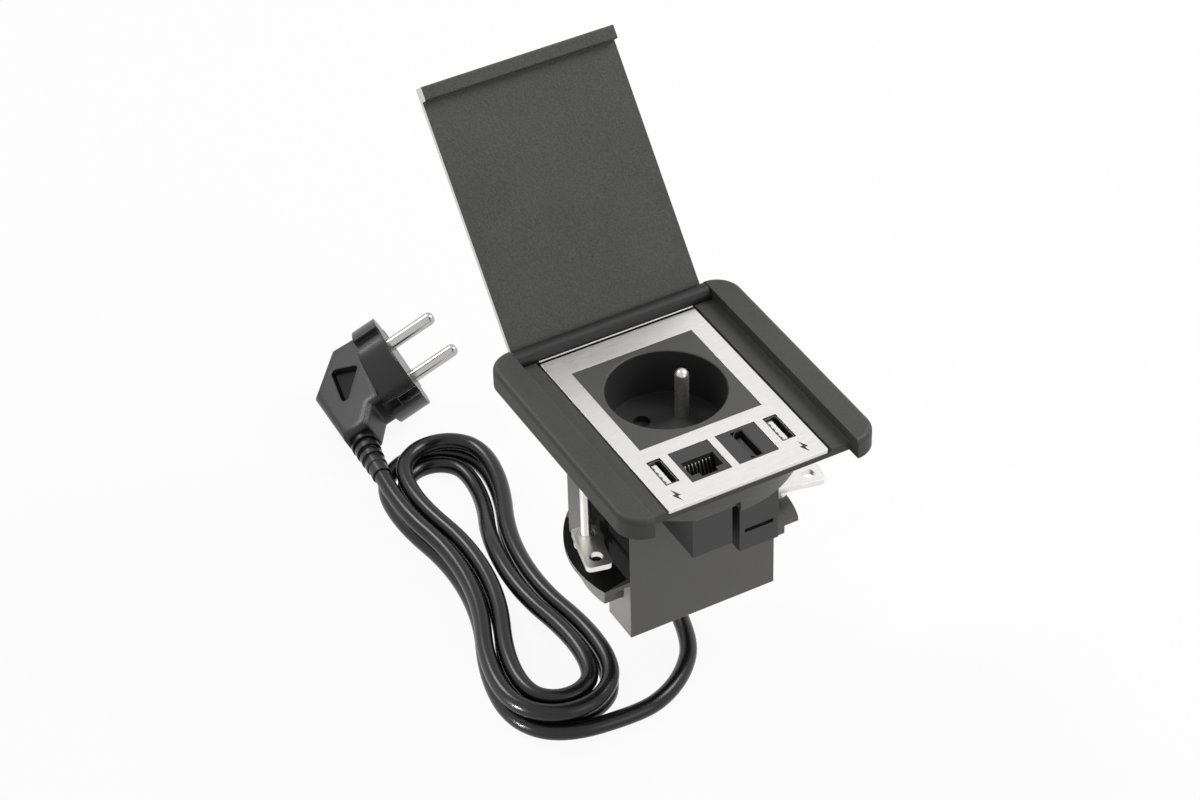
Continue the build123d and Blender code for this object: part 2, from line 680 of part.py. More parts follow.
# Base: a round flange under the claws, a stepped underside and the deep box of the supply
with BuildPart() as base_housing:
    with BuildSketch(Plane.XY.offset(tray_bottom_z)):
        Circle(tray_r)
        with Locations((0, housing_front_y - tray_r)):
            Rectangle(2 * tray_r, 2 * tray_r, mode=Mode.SUBTRACT)
    extrude(amount=tray_height)
    with BuildSketch(Plane.XY.offset(step_bottom_z)):
        Circle(step_r)
        with Locations((0, step_front_y - tray_r)):
            Rectangle(2 * tray_r, 2 * tray_r, mode=Mode.SUBTRACT)
    extrude(amount=tray_bottom_z - step_bottom_z)
    with BuildSketch(Plane.XY.offset(box_bottom_z)) as box_plan:
        with Locations((0, (housing_front_y + box_back_y) / 2)):
            Rectangle(2 * housing_half_x, box_back_y - housing_front_y)
        with Locations((0, (box_back_y + box_rear_y) / 2)):
            Rectangle(2 * box_rear_half_x, box_rear_y - box_back_y)
    extrude(amount=tray_bottom_z - box_bottom_z)
    # Inside of the step and of the box
    with BuildSketch(Plane.XY.offset(step_bottom_z + housing_wall)):
        Circle(step_r - housing_wall)
        with Locations((0, (housing_front_y + housing_wall + tray_r) / 2)):
            Rectangle(2 * (housing_half_x - housing_wall), tray_r - housing_front_y - housing_wall,
                      mode=Mode.INTERSECT)
    extrude(amount=seam_z - step_bottom_z, mode=Mode.SUBTRACT)
    with BuildSketch(Plane.XY.offset(box_bottom_z + housing_wall)):
        add(box_plan.sketch)
        offset(amount=-housing_wall, kind=Kind.INTERSECTION, mode=Mode.REPLACE)
    extrude(amount=step_bottom_z - box_bottom_z, mode=Mode.SUBTRACT)
    # Columns round the four housing screws
    with BuildSketch(Plane.XY.offset(box_bottom_z)):
        with Locations(*boss_spots[0:2]):
            Circle(boss_r + 1)
        Rectangle(2 * housing_half_x, -2 * housing_front_y, mode=Mode.INTERSECT)
    extrude(amount=seam_z - box_bottom_z)
    with BuildSketch(Plane.XY.offset(step_bottom_z)):
        with Locations(*boss_spots[2:4]):
            Circle(boss_r + 1)
        Circle(step_r, mode=Mode.INTERSECT)
    extrude(amount=seam_z - step_bottom_z)
    # Posts of the supply board
    with BuildSketch(Plane.XY.offset(box_bottom_z + housing_wall)):
        with Locations((0, board_y)):
            with GridLocations(board_width - 2 * post_inset, board_length - 2 * post_inset, 2, 2):
                Circle(post_r)
    extrude(amount=post_height)
    with BuildSketch(Plane.XY.offset(step_bottom_z)):
        with Locations((gland_x, gland_y)):
            Circle(gland_neck_r)
    extrude(amount=housing_wall, mode=Mode.SUBTRACT)
    with BuildSketch(Plane.XY.offset(box_bottom_z)):
        with Locations(*boss_spots[0:2]):
            Circle(joint_head_r + joint_head_gap)
    extrude(amount=step_bottom_z - box_bottom_z + joint_sink, mode=Mode.SUBTRACT)
    with BuildSketch(Plane.XY.offset(step_bottom_z)):
        with Locations(*boss_spots[2:4]):
            Circle(joint_head_r + joint_head_gap)
    extrude(amount=joint_sink, mode=Mode.SUBTRACT)
    with BuildSketch(Plane.XY.offset(box_bottom_z)):
        with Locations(*boss_spots):
            Circle(joint_bore_r)
    extrude(amount=seam_z - box_bottom_z, mode=Mode.SUBTRACT)
base_housing.part.label = "base_housing"
export_step(base_housing.part, "parts/base_housing.step")

# Four screws join the base to the housing
with BuildPart() as housing_screws:
    head_z = step_bottom_z + joint_sink
    with BuildSketch(Plane.XY.offset(head_z - joint_head_height)):
        with Locations(*boss_spots):
            Circle(joint_head_r)
    extrude(amount=joint_head_height)
    with BuildSketch(Plane.XY.offset(head_z)):
        with Locations(*boss_spots):
            Circle(boss_bore_r)
    extrude(amount=seam_z - head_z + 10)
housing_screws.part.label = "housing_screws"
export_step(housing_screws.part, "parts/housing_screws.step")

# Supply board with its transformer, capacitors and terminal block
board_bottom_z = box_bottom_z + housing_wall + post_height
board_top_z = board_bottom_z + board_thick
with BuildPart() as supply_board:
    with BuildSketch(Plane.XY.offset(board_bottom_z)):
        with Locations((0, board_y)):
            Rectangle(board_width, board_length)
    extrude(amount=board_thick)
supply_board.part.label = "supply_board"
export_step(supply_board.part, "parts/supply_board.step")

core_spot = (-board_width / 4, board_y - board_length / 8)
with BuildPart() as transformer:
    with BuildSketch(Plane.XY.offset(board_top_z)):
        with Locations(core_spot):
            Rectangle(core_length, core_width)
    extrude(amount=core_plate)
    with BuildSketch(Plane.XY.offset(board_top_z + core_plate)):
        with Locations(core_spot):
            Rectangle(winding_length, core_width)
    extrude(amount=winding_height)
    with BuildSketch(Plane.XY.offset(board_top_z + core_plate + winding_height)):
        with Locations(core_spot):
            Rectangle(core_length, core_width)
    extrude(amount=core_plate)
transformer.part.label = "transformer"
export_step(transformer.part, "parts/transformer.step")

with BuildPart() as capacitors:
    with BuildSketch(Plane.XY.offset(board_top_z)):
        with Locations((board_width / 6, board_y - board_length / 8)):
            with GridLocations(1, 2.25 * can_r, 1, 2):
                Circle(can_r)
    extrude(amount=can_height)
    chamfer(capacitors.edges().filter_by(GeomType.CIRCLE).group_by(Axis.Z)[-1], can_chamfer)
capacitors.part.label = "capacitors"
export_step(capacitors.part, "parts/capacitors.step")

terminal_back_y = board_y + board_length / 2 - 1
with BuildPart() as terminal_block:
    with BuildSketch(Plane.XY.offset(board_top_z)):
        with Locations((0, terminal_back_y - terminal_depth / 2)):
            Rectangle(terminal_width, terminal_depth)
    extrude(amount=terminal_height)
    with BuildSketch(Plane.XZ.offset(-terminal_back_y)):
        with Locations((0, board_top_z + 0.4 * terminal_height)):
            with GridLocations(terminal_pitch, 1, 3, 1):
                Circle(terminal_bore_r)
    extrude(amount=terminal_depth, mode=Mode.SUBTRACT)
terminal_block.part.label = "terminal_block"
export_step(terminal_block.part, "parts/terminal_block.step")

# Grommet of the lead: a neck in the base's floor, a collar on each side and a ribbed sleeve
gland_bottom_z = step_bottom_z - gland_length
collar_r = gland_neck_r + 0.4
with BuildPart() as cord_gland:
    with BuildSketch(Plane.XZ.offset(-gland_y)):
        with BuildLine():
            Polyline(
                (gland_x, step_bottom_z + housing_wall + 1),
                (gland_x + gland_neck_r, step_bottom_z + housing_wall + 1),
                (gland_x + gland_neck_r, step_bottom_z),
                (gland_x + collar_r, step_bottom_z),
                (gland_x + collar_r, step_bottom_z - 2),
                (gland_x + cord_r + 0.6, gland_bottom_z),
                (gland_x, gland_bottom_z),
                close=True,
            )
        make_face()
    revolve(axis=Axis((gland_x, gland_y, 0), (0, 0, 1)))
    for index in range(3):
        with BuildSketch(Plane.XY.offset(step_bottom_z - 4 - 2.6 * index)):
            with Locations((gland_x, gland_y)):
                Circle(collar_r)
                Circle(cord_r + 0.5, mode=Mode.SUBTRACT)
        extrude(amount=-1.2, mode=Mode.SUBTRACT)
cord_gland.part.label = "cord_gland"
export_step(cord_gland.part, "parts/cord_gland.step")

# Clamp screws: round heads sunk in the ring, shanks down past the claws
head_top_z = -fit_gap
drive_depth = 1.2
drive_width = 0.9
with BuildPart() as clamp_screw_left:
    with BuildSketch(Plane.XY.offset(head_top_z - screw_head_height)):
        with Locations(screw_spots[0]):
            Circle(screw_head_r)
    extrude(amount=screw_head_height)
    with BuildSketch(Plane.XY.offset(head_top_z - drive_depth)):
        with Locations(screw_spots[0]):
            Rectangle(3.6, drive_width)
            Rectangle(drive_width, 3.6)
    extrude(amount=drive_depth, mode=Mode.SUBTRACT)
    with BuildSketch(Plane.XY.offset(screw_tip_z)):
        with Locations(screw_spots[0]):
            Circle(screw_r)
    extrude(amount=head_top_z - screw_head_height - screw_tip_z)
    chamfer(clamp_screw_left.edges().filter_by(GeomType.CIRCLE).sort_by(Axis.Z)[0], 0.5)
clamp_screw_left.part.label = "clamp_screw_left"
export_step(clamp_screw_left.part, "parts/clamp_screw_left.step")

with BuildPart() as clamp_screw_right:
    with Locations(Location((screw_spots[1][0] - screw_spots[0][0], screw_spots[1][1] - screw_spots[0][1], 0))):
        add(clamp_screw_left.part)
clamp_screw_right.part.label = "clamp_screw_right"
export_step(clamp_screw_right.part, "parts/clamp_screw_right.step")

# Washers pressed on the shanks keep the screws in the ring
clip_top_z = ring_bottom_z - fit_gap
with BuildPart() as clamp_clip_left:
    with BuildSketch(Plane.XY.offset(clip_top_z - clip_thick)):
        with Locations(screw_spots[0]):
            Circle(clip_r)
            Circle(screw_r, mode=Mode.SUBTRACT)
    extrude(amount=clip_thick)
clamp_clip_left.part.label = "clamp_clip_left"
export_step(clamp_clip_left.part, "parts/clamp_clip_left.step")

with BuildPart() as clamp_clip_right:
    with Locations(Location((screw_spots[1][0] - screw_spots[0][0], screw_spots[1][1] - screw_spots[0][1], 0))):
        add(clamp_clip_left.part)
clamp_clip_right.part.label = "clamp_clip_right"
export_step(clamp_clip_right.part, "parts/clamp_clip_right.step")

# Claw of each screw: a flat plate with a hole near its free end
plate_hole_r = nut_spigot_r + 0.05
left_claw_plane = Plane(
    origin=(screw_spots[0][0], screw_spots[0][1], left_claw_z),
    x_dir=(math.cos(math.radians(left_claw_deg)), math.sin(math.radians(left_claw_deg)), 0),
    z_dir=(0, 0, 1),
)
right_claw_plane = Plane(
    origin=(screw_spots[1][0], screw_spots[1][1], right_claw_z),
    x_dir=(math.cos(math.radians(right_claw_deg)), math.sin(math.radians(right_claw_deg)), 0),
    z_dir=(0, 0, 1),
)
with BuildSketch() as claw_plan:
    with Locations(((claw_reach - claw_heel) / 2, 0)):
        RectangleRounded(claw_reach + claw_heel, claw_width, claw_corner_r)
    Circle(plate_hole_r, mode=Mode.SUBTRACT)
    with Locations((claw_hole_offset, 0)):
        Circle(claw_hole_r, mode=Mode.SUBTRACT)
with BuildPart() as claw_left:
    with BuildSketch(left_claw_plane):
        add(claw_plan.sketch)
    extrude(amount=-claw_thick)
claw_left.part.label = "claw_left"
export_step(claw_left.part, "parts/claw_left.step")

with BuildPart() as claw_right:
    with BuildSketch(right_claw_plane):
        add(claw_plan.sketch)
    extrude(amount=-claw_thick)
claw_right.part.label = "claw_right"
export_step(claw_right.part, "parts/claw_right.step")

# Flanged nuts run on the screws and lift the claws
with BuildPart() as claw_nut_left:
    with BuildSketch(left_claw_plane.offset(-claw_thick - nut_flange_height)):
        Circle(nut_flange_r)
    extrude(amount=nut_flange_height)
    with BuildSketch(left_claw_plane.offset(-claw_thick)):
        Circle(nut_spigot_r)
    extrude(amount=claw_thick)
    with BuildSketch(left_claw_plane.offset(-claw_thick - nut_flange_height)):
        Circle(screw_r + thread_gap)
    extrude(amount=claw_thick + nut_flange_height, mode=Mode.SUBTRACT)
claw_nut_left.part.label = "claw_nut_left"
export_step(claw_nut_left.part, "parts/claw_nut_left.step")

with BuildPart() as claw_nut_right:
    with BuildSketch(right_claw_plane.offset(-claw_thick - nut_flange_height)):
        Circle(nut_flange_r)
    extrude(amount=nut_flange_height)
    with BuildSketch(right_claw_plane.offset(-claw_thick)):
        Circle(nut_spigot_r)
    extrude(amount=claw_thick)
    with BuildSketch(right_claw_plane.offset(-claw_thick - nut_flange_height)):
        Circle(screw_r + thread_gap)
    extrude(amount=claw_thick + nut_flange_height, mode=Mode.SUBTRACT)
claw_nut_right.part.label = "claw_nut_right"
export_step(claw_nut_right.part, "parts/claw_nut_right.step")

# The hank lies flat beside the housing; its own plane has x across the folds and y along the runs
hank_turn = math.radians(hank_turn_deg)
across = Vector(math.cos(hank_turn), math.sin(hank_turn), 0)
along = Vector(-math.sin(hank_turn), math.cos(hank_turn), 0)
lower_z = floor_z + cord_r
upper_z = lower_z + cord_d + layer_gap
pitch = cord_d + hank_gap
outer_r = fold_r + pitch
half_run = hank_run / 2


def in_hank(x, y, z):
    """Place a point of the hank's own plane in the room."""
    return Vector(hank_x, hank_y, z) + across * x + along * y


def bowed_run(x, end_y, low, high, out_x):
    """Draw half a run to the waist and half a run out again, each as two equal arcs."""
    side = math.copysign(1, x)
    heading = along * math.copysign(1, end_y)
    start = in_hank(x, -end_y, low)
    waist = in_hank(x - side * waist_draw, 0, high)
    finish = in_hank(out_x, end_y, high)
    for first, last in ((start, waist), (waist, finish)):
        middle = (first + last) * 0.5
        TangentArc(first, middle, tangent=heading)
        chord = (last - first).normalized()
        TangentArc(middle, last, tangent=chord * (2 * chord.dot(heading)) - heading)


def fold(from_x, to_x, end_y, z):
    """Turn half a circle at one end of the hank."""
    TangentArc(in_hank(from_x, end_y, z), in_hank(to_x, end_y, z), tangent=along * math.copysign(1, end_y))


first_r = outer_r + pitch / 2
hank_start = in_hank(pitch / 2 + cord_d, -half_run - first_r, lower_z)
hank_end = in_hank(-outer_r, half_run + cord_d, upper_z)
with BuildPart() as cord_hank:
    with BuildLine() as hank_line:
        turn_in = in_hank(pitch / 2, -half_run - first_r, lower_z)
        Line(hank_start, turn_in)
        TangentArc(turn_in, in_hank(-outer_r, -half_run, lower_z), tangent=-across)
        bowed_run(-outer_r, half_run, lower_z, lower_z, -outer_r)
        fold(-outer_r, outer_r, half_run, lower_z)
        bowed_run(outer_r, -half_run, lower_z, lower_z, outer_r)
        fold(outer_r, -fold_r, -half_run, lower_z)
        bowed_run(-fold_r, half_run, lower_z, lower_z, -fold_r)
        fold(-fold_r, fold_r, half_run, lower_z)
        bowed_run(fold_r, -half_run, lower_z, upper_z, fold_r)
        fold(fold_r, -fold_r, -half_run, upper_z)
        bowed_run(-fold_r, half_run, upper_z, upper_z, -fold_r)
        fold(-fold_r, outer_r, half_run, upper_z)
        bowed_run(outer_r, -half_run, upper_z, upper_z, outer_r)
        fold(outer_r, -outer_r, -half_run, upper_z)
        bowed_run(-outer_r, half_run, upper_z, upper_z, -outer_r)
        Line(in_hank(-outer_r, half_run, upper_z), hank_end)
    with BuildSketch(Plane(origin=hank_start, z_dir=-across)):
        Circle(cord_r)
    sweep(path=hank_line.wire())
cord_hank.part.label = "cord_hank"
export_step(cord_hank.part, "parts/cord_hank.step")

# Least gap of the hank to itself, and the tube's length and volume
hank_wire = hank_line.wire()
hank_length = hank_wire.length
steps = 1200
trail = [hank_wire.position_at(index / steps) for index in range(steps + 1)]
skip = int(4 * cord_d / hank_length * steps)
least = min(
    (trail[i] - trail[j]).length
    for i in range(0, steps + 1)
    for j in range(i + skip, steps + 1)
)
print("hank length", round(hank_length, 1), "least gap", round(least - cord_d, 2))
print("hank volume ratio", round(cord_hank.part.volume / (math.pi * cord_r**2 * hank_length), 4))

# Lead from the grommet down to the desk floor and round to the hank
lead_points = [
    (gland_x, gland_y, gland_bottom_z),
    (9.0, 28.6, -83.9),
    (7.6, 23.6, -92.8),
    (5.4, 14.9, -98.0),
    (0.1, -5.0, -98.0),
    (-8.4, -15.5, -98.0),
    (-19.3, -22.6, -98.0),
    hank_start + across * 12,
    hank_start,
]
lead_points = [Vector(*point) if isinstance(point, tuple) else point for point in lead_points]
lead_runs = [(b - a).length for a, b in zip(lead_points, lead_points[1:])]
lead_radii = []
for index in range(1, len(lead_points) - 1):
    before = lead_points[index] - lead_points[index - 1]
    after = lead_points[index + 1] - lead_points[index]
    half_turn = math.radians(before.get_angle(after)) / 2
    lead_radii.append(0.45 * min(lead_runs[index - 1], lead_runs[index]) / math.tan(half_turn))
print("lead runs", [round(run, 1) for run in lead_runs], "radii", [round(r, 1) for r in lead_radii])
with BuildPart() as cord_lead:
    with BuildLine() as lead_line:
        FilletPolyline(*lead_points, radius=lead_radii)
    with BuildSketch(Plane(origin=lead_points[0], z_dir=(0, 0, -1))):
        Circle(cord_r)
    sweep(path=lead_line.wire())
cord_lead.part.label = "cord_lead"
export_step(cord_lead.part, "parts/cord_lead.step")
lead_length = lead_line.wire().length
print("lead length", round(lead_length, 1), "volume ratio",
      round(cord_lead.part.volume / (math.pi * cord_r**2 * lead_length), 4))
print("cord length", round(lead_length + hank_length, 1))

# Angled mains plug: its own plane has x along the cord's exit and z along the pins
tilt = math.radians(plug_tilt_deg)
pin_dir = across * math.cos(tilt) + Vector(0, 0, 1) * math.sin(tilt)
rim_middle = (plug_rim + plug_rim_low) / 2
face_z = floor_z + rim_middle * math.sin(tilt) + plug_disc_r * math.cos(tilt)
face_height = (face_z - upper_z) / math.sin(tilt)
plug_origin = hank_end + along * (relief_length + plug_exit)
plug_plane = Plane(origin=plug_origin, x_dir=-along, z_dir=pin_dir)
grip_plane = Plane(origin=plug_origin, x_dir=-along, z_dir=-plug_plane.y_dir)
rim_height = face_height - plug_rim
rim_low_height = face_height - plug_rim_low
relief_plane = Plane(origin=hank_end, x_dir=plug_plane.y_dir, z_dir=along)
# The disc is thicker on the cord's side
with BuildPart() as plug_disc:
    with BuildSketch(grip_plane):
        with BuildLine():
            Polyline(
                (-plug_disc_r, face_height),
                (-plug_disc_r, rim_height),
                (plug_disc_r, rim_low_height),
                (plug_disc_r, face_height),
                close=True,
            )
        make_face()
    extrude(amount=plug_disc_r, both=True)
    with BuildSketch(plug_plane):
        Circle(plug_disc_r)
    extrude(amount=face_height, mode=Mode.INTERSECT)
with BuildPart() as plug_body:
    with BuildSketch(grip_plane):
        with BuildLine():
            Polyline(
                (-plug_disc_r + 1, rim_height + 1),
                (-plug_disc_r, plug_back),
                (-2, -plug_back),
                (plug_exit, -relief_r),
                (plug_exit, relief_r),
                (plug_disc_r - 1, plug_back + 3),
                (plug_disc_r - 1, rim_low_height + 1),
                close=True,
            )
        make_face()
    extrude(amount=plug_grip_width / 2, both=True)
    fillet(plug_body.edges().filter_by(lambda e: abs(e.tangent_at(0.5).dot(plug_plane.y_dir)) < 0.1), 2.5)
    # A hollow for the fingers in both sides
    for side in (-1, 1):
        side_middle = plug_origin + plug_plane.y_dir * (side * plug_grip_width / 2)
        side_plane = Plane(origin=side_middle, x_dir=-along, z_dir=-plug_plane.y_dir * side)
        with BuildSketch(side_plane) as finger_hollow:
            with BuildLine():
                Polyline((-9, 3 * side), (-3, 13 * side), (13, side), close=True)
            make_face()
            fillet(finger_hollow.vertices(), 1.5)
        extrude(amount=plug_finger_depth, taper=25, mode=Mode.SUBTRACT)
    add(plug_disc.part)
    with BuildSketch(plug_plane.offset(rim_low_height)):
        with Locations((plug_disc_r, 0), (-plug_disc_r, 0)):
            Rectangle(3.0, plug_clip_width + 1.6)
        with Locations((0, plug_disc_r), (0, -plug_disc_r)):
            Rectangle(plug_groove, 2 * plug_groove_depth)
    extrude(amount=plug_rim_low, mode=Mode.SUBTRACT)
    with BuildSketch(plug_plane.offset(face_height)):
        with Locations((-plug_earth_offset, 0)):
            Circle(plug_earth_r)
    extrude(amount=-10, mode=Mode.SUBTRACT)
    with BuildSketch(plug_plane.offset(face_height)):
        with Locations((0, plug_pin_spacing / 2), (0, -plug_pin_spacing / 2)):
            Circle(plug_pin_r)
    extrude(amount=-plug_pin_root, mode=Mode.SUBTRACT)
plug_body.part.label = "plug_body"
export_step(plug_body.part, "parts/plug_body.step")

with BuildPart() as plug_pins:
    with BuildSketch(plug_plane.offset(face_height - plug_pin_root)):
        with Locations((0, plug_pin_spacing / 2), (0, -plug_pin_spacing / 2)):
            Circle(plug_pin_r)
    extrude(amount=plug_pin_length + plug_pin_root)
    tips = plug_pins.edges().filter_by(GeomType.CIRCLE).sort_by(lambda e: -e.center().dot(pin_dir))[0:2]
    fillet(tips, plug_pin_r - 0.4)
plug_pins.part.label = "plug_pins"
export_step(plug_pins.part, "parts/plug_pins.step")

with BuildPart() as plug_clips:
    for side in (-1, 1):
        with BuildSketch(plug_plane.offset(rim_height)):
            with Locations((side * (plug_disc_r - 1.1), 0)):
                Rectangle(plug_clip_thick, plug_clip_width)
        extrude(amount=plug_rim + 0.3)
plug_clips.part.label = "plug_clips"
export_step(plug_clips.part, "parts/plug_clips.step")

# Ribbed bend relief between the cord and the plug
relief_thin_r = cord_r + 0.5
with BuildPart() as plug_relief:
    with BuildSketch(relief_plane):
        Circle(relief_thin_r)
    extrude(amount=relief_length)
    for index in range(4):
        ring_r_here = relief_thin_r + 0.4 + index * (relief_r - relief_thin_r - 0.4) / 3
        with BuildSketch(relief_plane.offset(relief_length - 2.4 - 4.2 * (3 - index))):
            Circle(ring_r_here)
        extrude(amount=2.4)
plug_relief.part.label = "plug_relief"
export_step(plug_relief.part, "parts/plug_relief.step")
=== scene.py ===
import math

import bmesh
import bpy
from mathutils import Matrix, Vector


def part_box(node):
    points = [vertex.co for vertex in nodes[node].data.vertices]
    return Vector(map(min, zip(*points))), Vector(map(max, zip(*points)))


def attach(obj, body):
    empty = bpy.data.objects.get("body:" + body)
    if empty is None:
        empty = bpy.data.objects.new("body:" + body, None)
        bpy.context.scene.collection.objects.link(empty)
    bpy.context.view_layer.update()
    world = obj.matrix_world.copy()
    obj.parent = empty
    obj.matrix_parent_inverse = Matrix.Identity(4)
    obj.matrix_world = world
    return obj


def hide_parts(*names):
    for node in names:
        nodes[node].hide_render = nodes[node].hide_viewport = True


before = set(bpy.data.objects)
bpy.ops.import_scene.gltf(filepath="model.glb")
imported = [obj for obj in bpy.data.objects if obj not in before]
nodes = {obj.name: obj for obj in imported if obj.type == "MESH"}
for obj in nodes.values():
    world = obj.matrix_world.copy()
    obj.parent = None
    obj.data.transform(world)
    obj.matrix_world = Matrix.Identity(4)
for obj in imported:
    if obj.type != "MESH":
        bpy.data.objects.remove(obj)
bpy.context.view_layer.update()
scene = bpy.context.scene

# Camera at the photograph's angle, and the white studio: a pale floor under the cord and a white
# world behind it. A broad lamp stands above at the right, weaker ones in front and behind, and a
# narrow one low at the left lights only the left face of the box.
target = Vector((-0.02109, 0.01507, 0.0032))
azimuth, elevation, roll = math.radians(-27.97), math.radians(39.44), math.radians(-1.69)
distance = 1.14224
away = Vector((
    math.sin(azimuth) * math.cos(elevation),
    -math.cos(azimuth) * math.cos(elevation),
    math.sin(elevation),
))
level_right = (-away).cross(Vector((0, 0, 1))).normalized()
level_up = level_right.cross(-away)
right = level_right * math.cos(roll) + level_up * math.sin(roll)
up = level_up * math.cos(roll) - level_right * math.sin(roll)
camera = bpy.data.objects.new("camera", bpy.data.cameras.new("camera"))
camera.data.sensor_width = 36.0
camera.data.lens = 106.61  # millimetres, like the sensor
place = Matrix((right, up, away)).transposed().to_4x4()
place.translation = target + away * distance
camera.matrix_world = place
scene.collection.objects.link(camera)
scene.camera = camera
scene.view_settings.view_transform = "Standard"

floor_z = -0.101


def worked(tree, operation, first, second):
    """Add a maths node with numbers or sockets as its two inputs and return its output."""
    node = tree.nodes.new("ShaderNodeMath")
    node.operation = operation
    for socket, value in zip(node.inputs, (first, second)):
        if isinstance(value, (int, float)):
            socket.default_value = value
        else:
            tree.links.new(value, socket)
    return node.outputs[0]


def shows_white(tree):
    """Return a socket that is 1 for camera, glossy and transmission rays."""
    path = tree.nodes.new("ShaderNodeLightPath")
    seen = path.outputs["Is Camera Ray"]
    for name in ("Is Glossy Ray", "Is Transmission Ray"):
        seen = worked(tree, "MAXIMUM", seen, path.outputs[name])
    return seen


floor_mesh = bpy.data.meshes.new("floor")
reach = 3.0
corners = [(x * reach, y * reach, floor_z) for x, y in ((-1, -1), (1, -1), (1, 1), (-1, 1))]
floor_mesh.from_pydata(corners, [], [(0, 1, 2, 3)])
floor = bpy.data.objects.new("floor", floor_mesh)
scene.collection.objects.link(floor)

# How white the paper and the world look, and how much light the world gives.
glow_share = 0.93
world_light = 0.3
world_shown = 1.0
paper = bpy.data.materials.new("white_paper")
paper.use_nodes = True
tree = paper.node_tree
matt = tree.nodes["Principled BSDF"]
matt.inputs["Base Color"].default_value = (0.82, 0.82, 0.82, 1)
matt.inputs["Roughness"].default_value = 0.9
glow = tree.nodes.new("ShaderNodeEmission")
glow.inputs["Color"].default_value = (1, 1, 1, 1)
blend = tree.nodes.new("ShaderNodeMixShader")
tree.links.new(worked(tree, "MULTIPLY", shows_white(tree), glow_share), blend.inputs[0])
tree.links.new(matt.outputs[0], blend.inputs[1])
tree.links.new(glow.outputs[0], blend.inputs[2])
tree.links.new(blend.outputs[0], tree.nodes["Material Output"].inputs["Surface"])
floor_mesh.materials.append(paper)

world = bpy.data.worlds.new("studio")
scene.world = world
world.use_nodes = True
tree = world.node_tree
sky = tree.nodes["Background"]
sky.inputs["Color"].default_value = (1, 1, 1, 1)
strength = tree.nodes.new("ShaderNodeMapRange")
strength.inputs["To Min"].default_value = world_light
strength.inputs["To Max"].default_value = world_shown
tree.links.new(shows_white(tree), strength.inputs["Value"])
tree.links.new(strength.outputs[0], sky.inputs["Strength"])

# Each lamp: its name, place, the height it aims at, size, power in watts and spread in degrees.
lamps = (
    ("lamp_above", (0.65, -0.05, 0.75), -0.02, 0.4, 5.6, 180),
    ("lamp_left", (-0.6, 0.02, -0.02), -0.072, 0.04, 0.028, 8),
    ("lamp_front", (0.3, -1.0, 0.3), -0.02, 0.6, 1.8, 180),
    ("lamp_back", (-0.3, 0.75, 0.75), -0.02, 0.3, 4.0, 180),
)
for name, spot, aim_z, size, power, spread in lamps:
    lamp = bpy.data.objects.new(name, bpy.data.lights.new(name, "AREA"))
    lamp.data.size = size
    lamp.data.energy = power
    lamp.data.spread = math.radians(spread)
    lamp.location = spot
    aim = Vector((0, 0, aim_z)) - Vector(spot)
    lamp.rotation_euler = aim.to_track_quat("-Z", "Y").to_euler()
    scene.collection.objects.link(lamp)

# Mains lead: a glossy black round sheath, 6 mm thick. It leaves the grommet downwards, lies on the
# floor and is folded into a loose hank of three loops, two layers deep, that ends at the plug.
cord_r = 0.003
lead_points = [
    (0.009, 0.0286, -0.0735),
    (0.009, 0.0286, -0.0839),
    (0.0076, 0.0236, -0.0928),
    (0.0054, 0.0149, -0.098),
    (0.0001, -0.005, -0.098),
    (-0.0084, -0.0155, -0.098),
    (-0.0193, -0.0226, -0.098),
]
lower_z = floor_z + cord_r
strand_gap = 0.0009
pitch = 2 * cord_r + strand_gap
upper_z = lower_z + pitch
fold_r = 0.012
outer_r = fold_r + pitch
half_run = 0.056
waist_draw = 0.0085
hank_turn = math.radians(-6.8)
hank_middle = Vector((-0.043, 0.055, 0))
across = Vector((math.cos(hank_turn), math.sin(hank_turn), 0))
along = Vector((-math.sin(hank_turn), math.cos(hank_turn), 0))
route = [Vector(point) for point in lead_points]


def in_hank(x, y, z):
    """Place a point of the hank's own plane in the room."""
    return hank_middle + across * x + along * y + Vector((0, 0, z))


def add_fold(from_x, to_x, end_y, z, first=0, steps=4):
    """Add the corners of a fold from one strand to the next."""
    middle, radius = (from_x + to_x) / 2, abs(from_x - to_x) / 2
    side, end = math.copysign(1, from_x - to_x), math.copysign(1, end_y)
    for step in range(first, steps):
        angle = math.pi * (step + 0.5) / steps
        far = radius / math.cos(math.pi / 2 / steps)
        corner_x = middle + side * far * math.cos(angle)
        corner_y = end_y + end * far * math.sin(angle)
        route.append(in_hank(corner_x, corner_y, z))


def add_strand(x, heading, low, high):
    """Add a strand that is drawn in at the waist and may climb to the upper layer."""
    sink = math.atan2(waist_draw, half_run)
    ease = half_run / (4 * math.cos(sink) ** 2)
    waist_x = x - math.copysign(waist_draw, x)
    route.append(in_hank(x, heading * (ease - half_run), low))
    route.append(in_hank(waist_x, heading * -ease, high))
    route.append(in_hank(waist_x, heading * ease, high))
    route.append(in_hank(x, heading * (half_run - ease), high))


first_r = outer_r + pitch / 2
entry_x = 0.018
route.append(in_hank(pitch / 2 + entry_x, -half_run - first_r, lower_z))
add_fold(pitch / 2 + first_r, -outer_r, -half_run, lower_z, first=2)
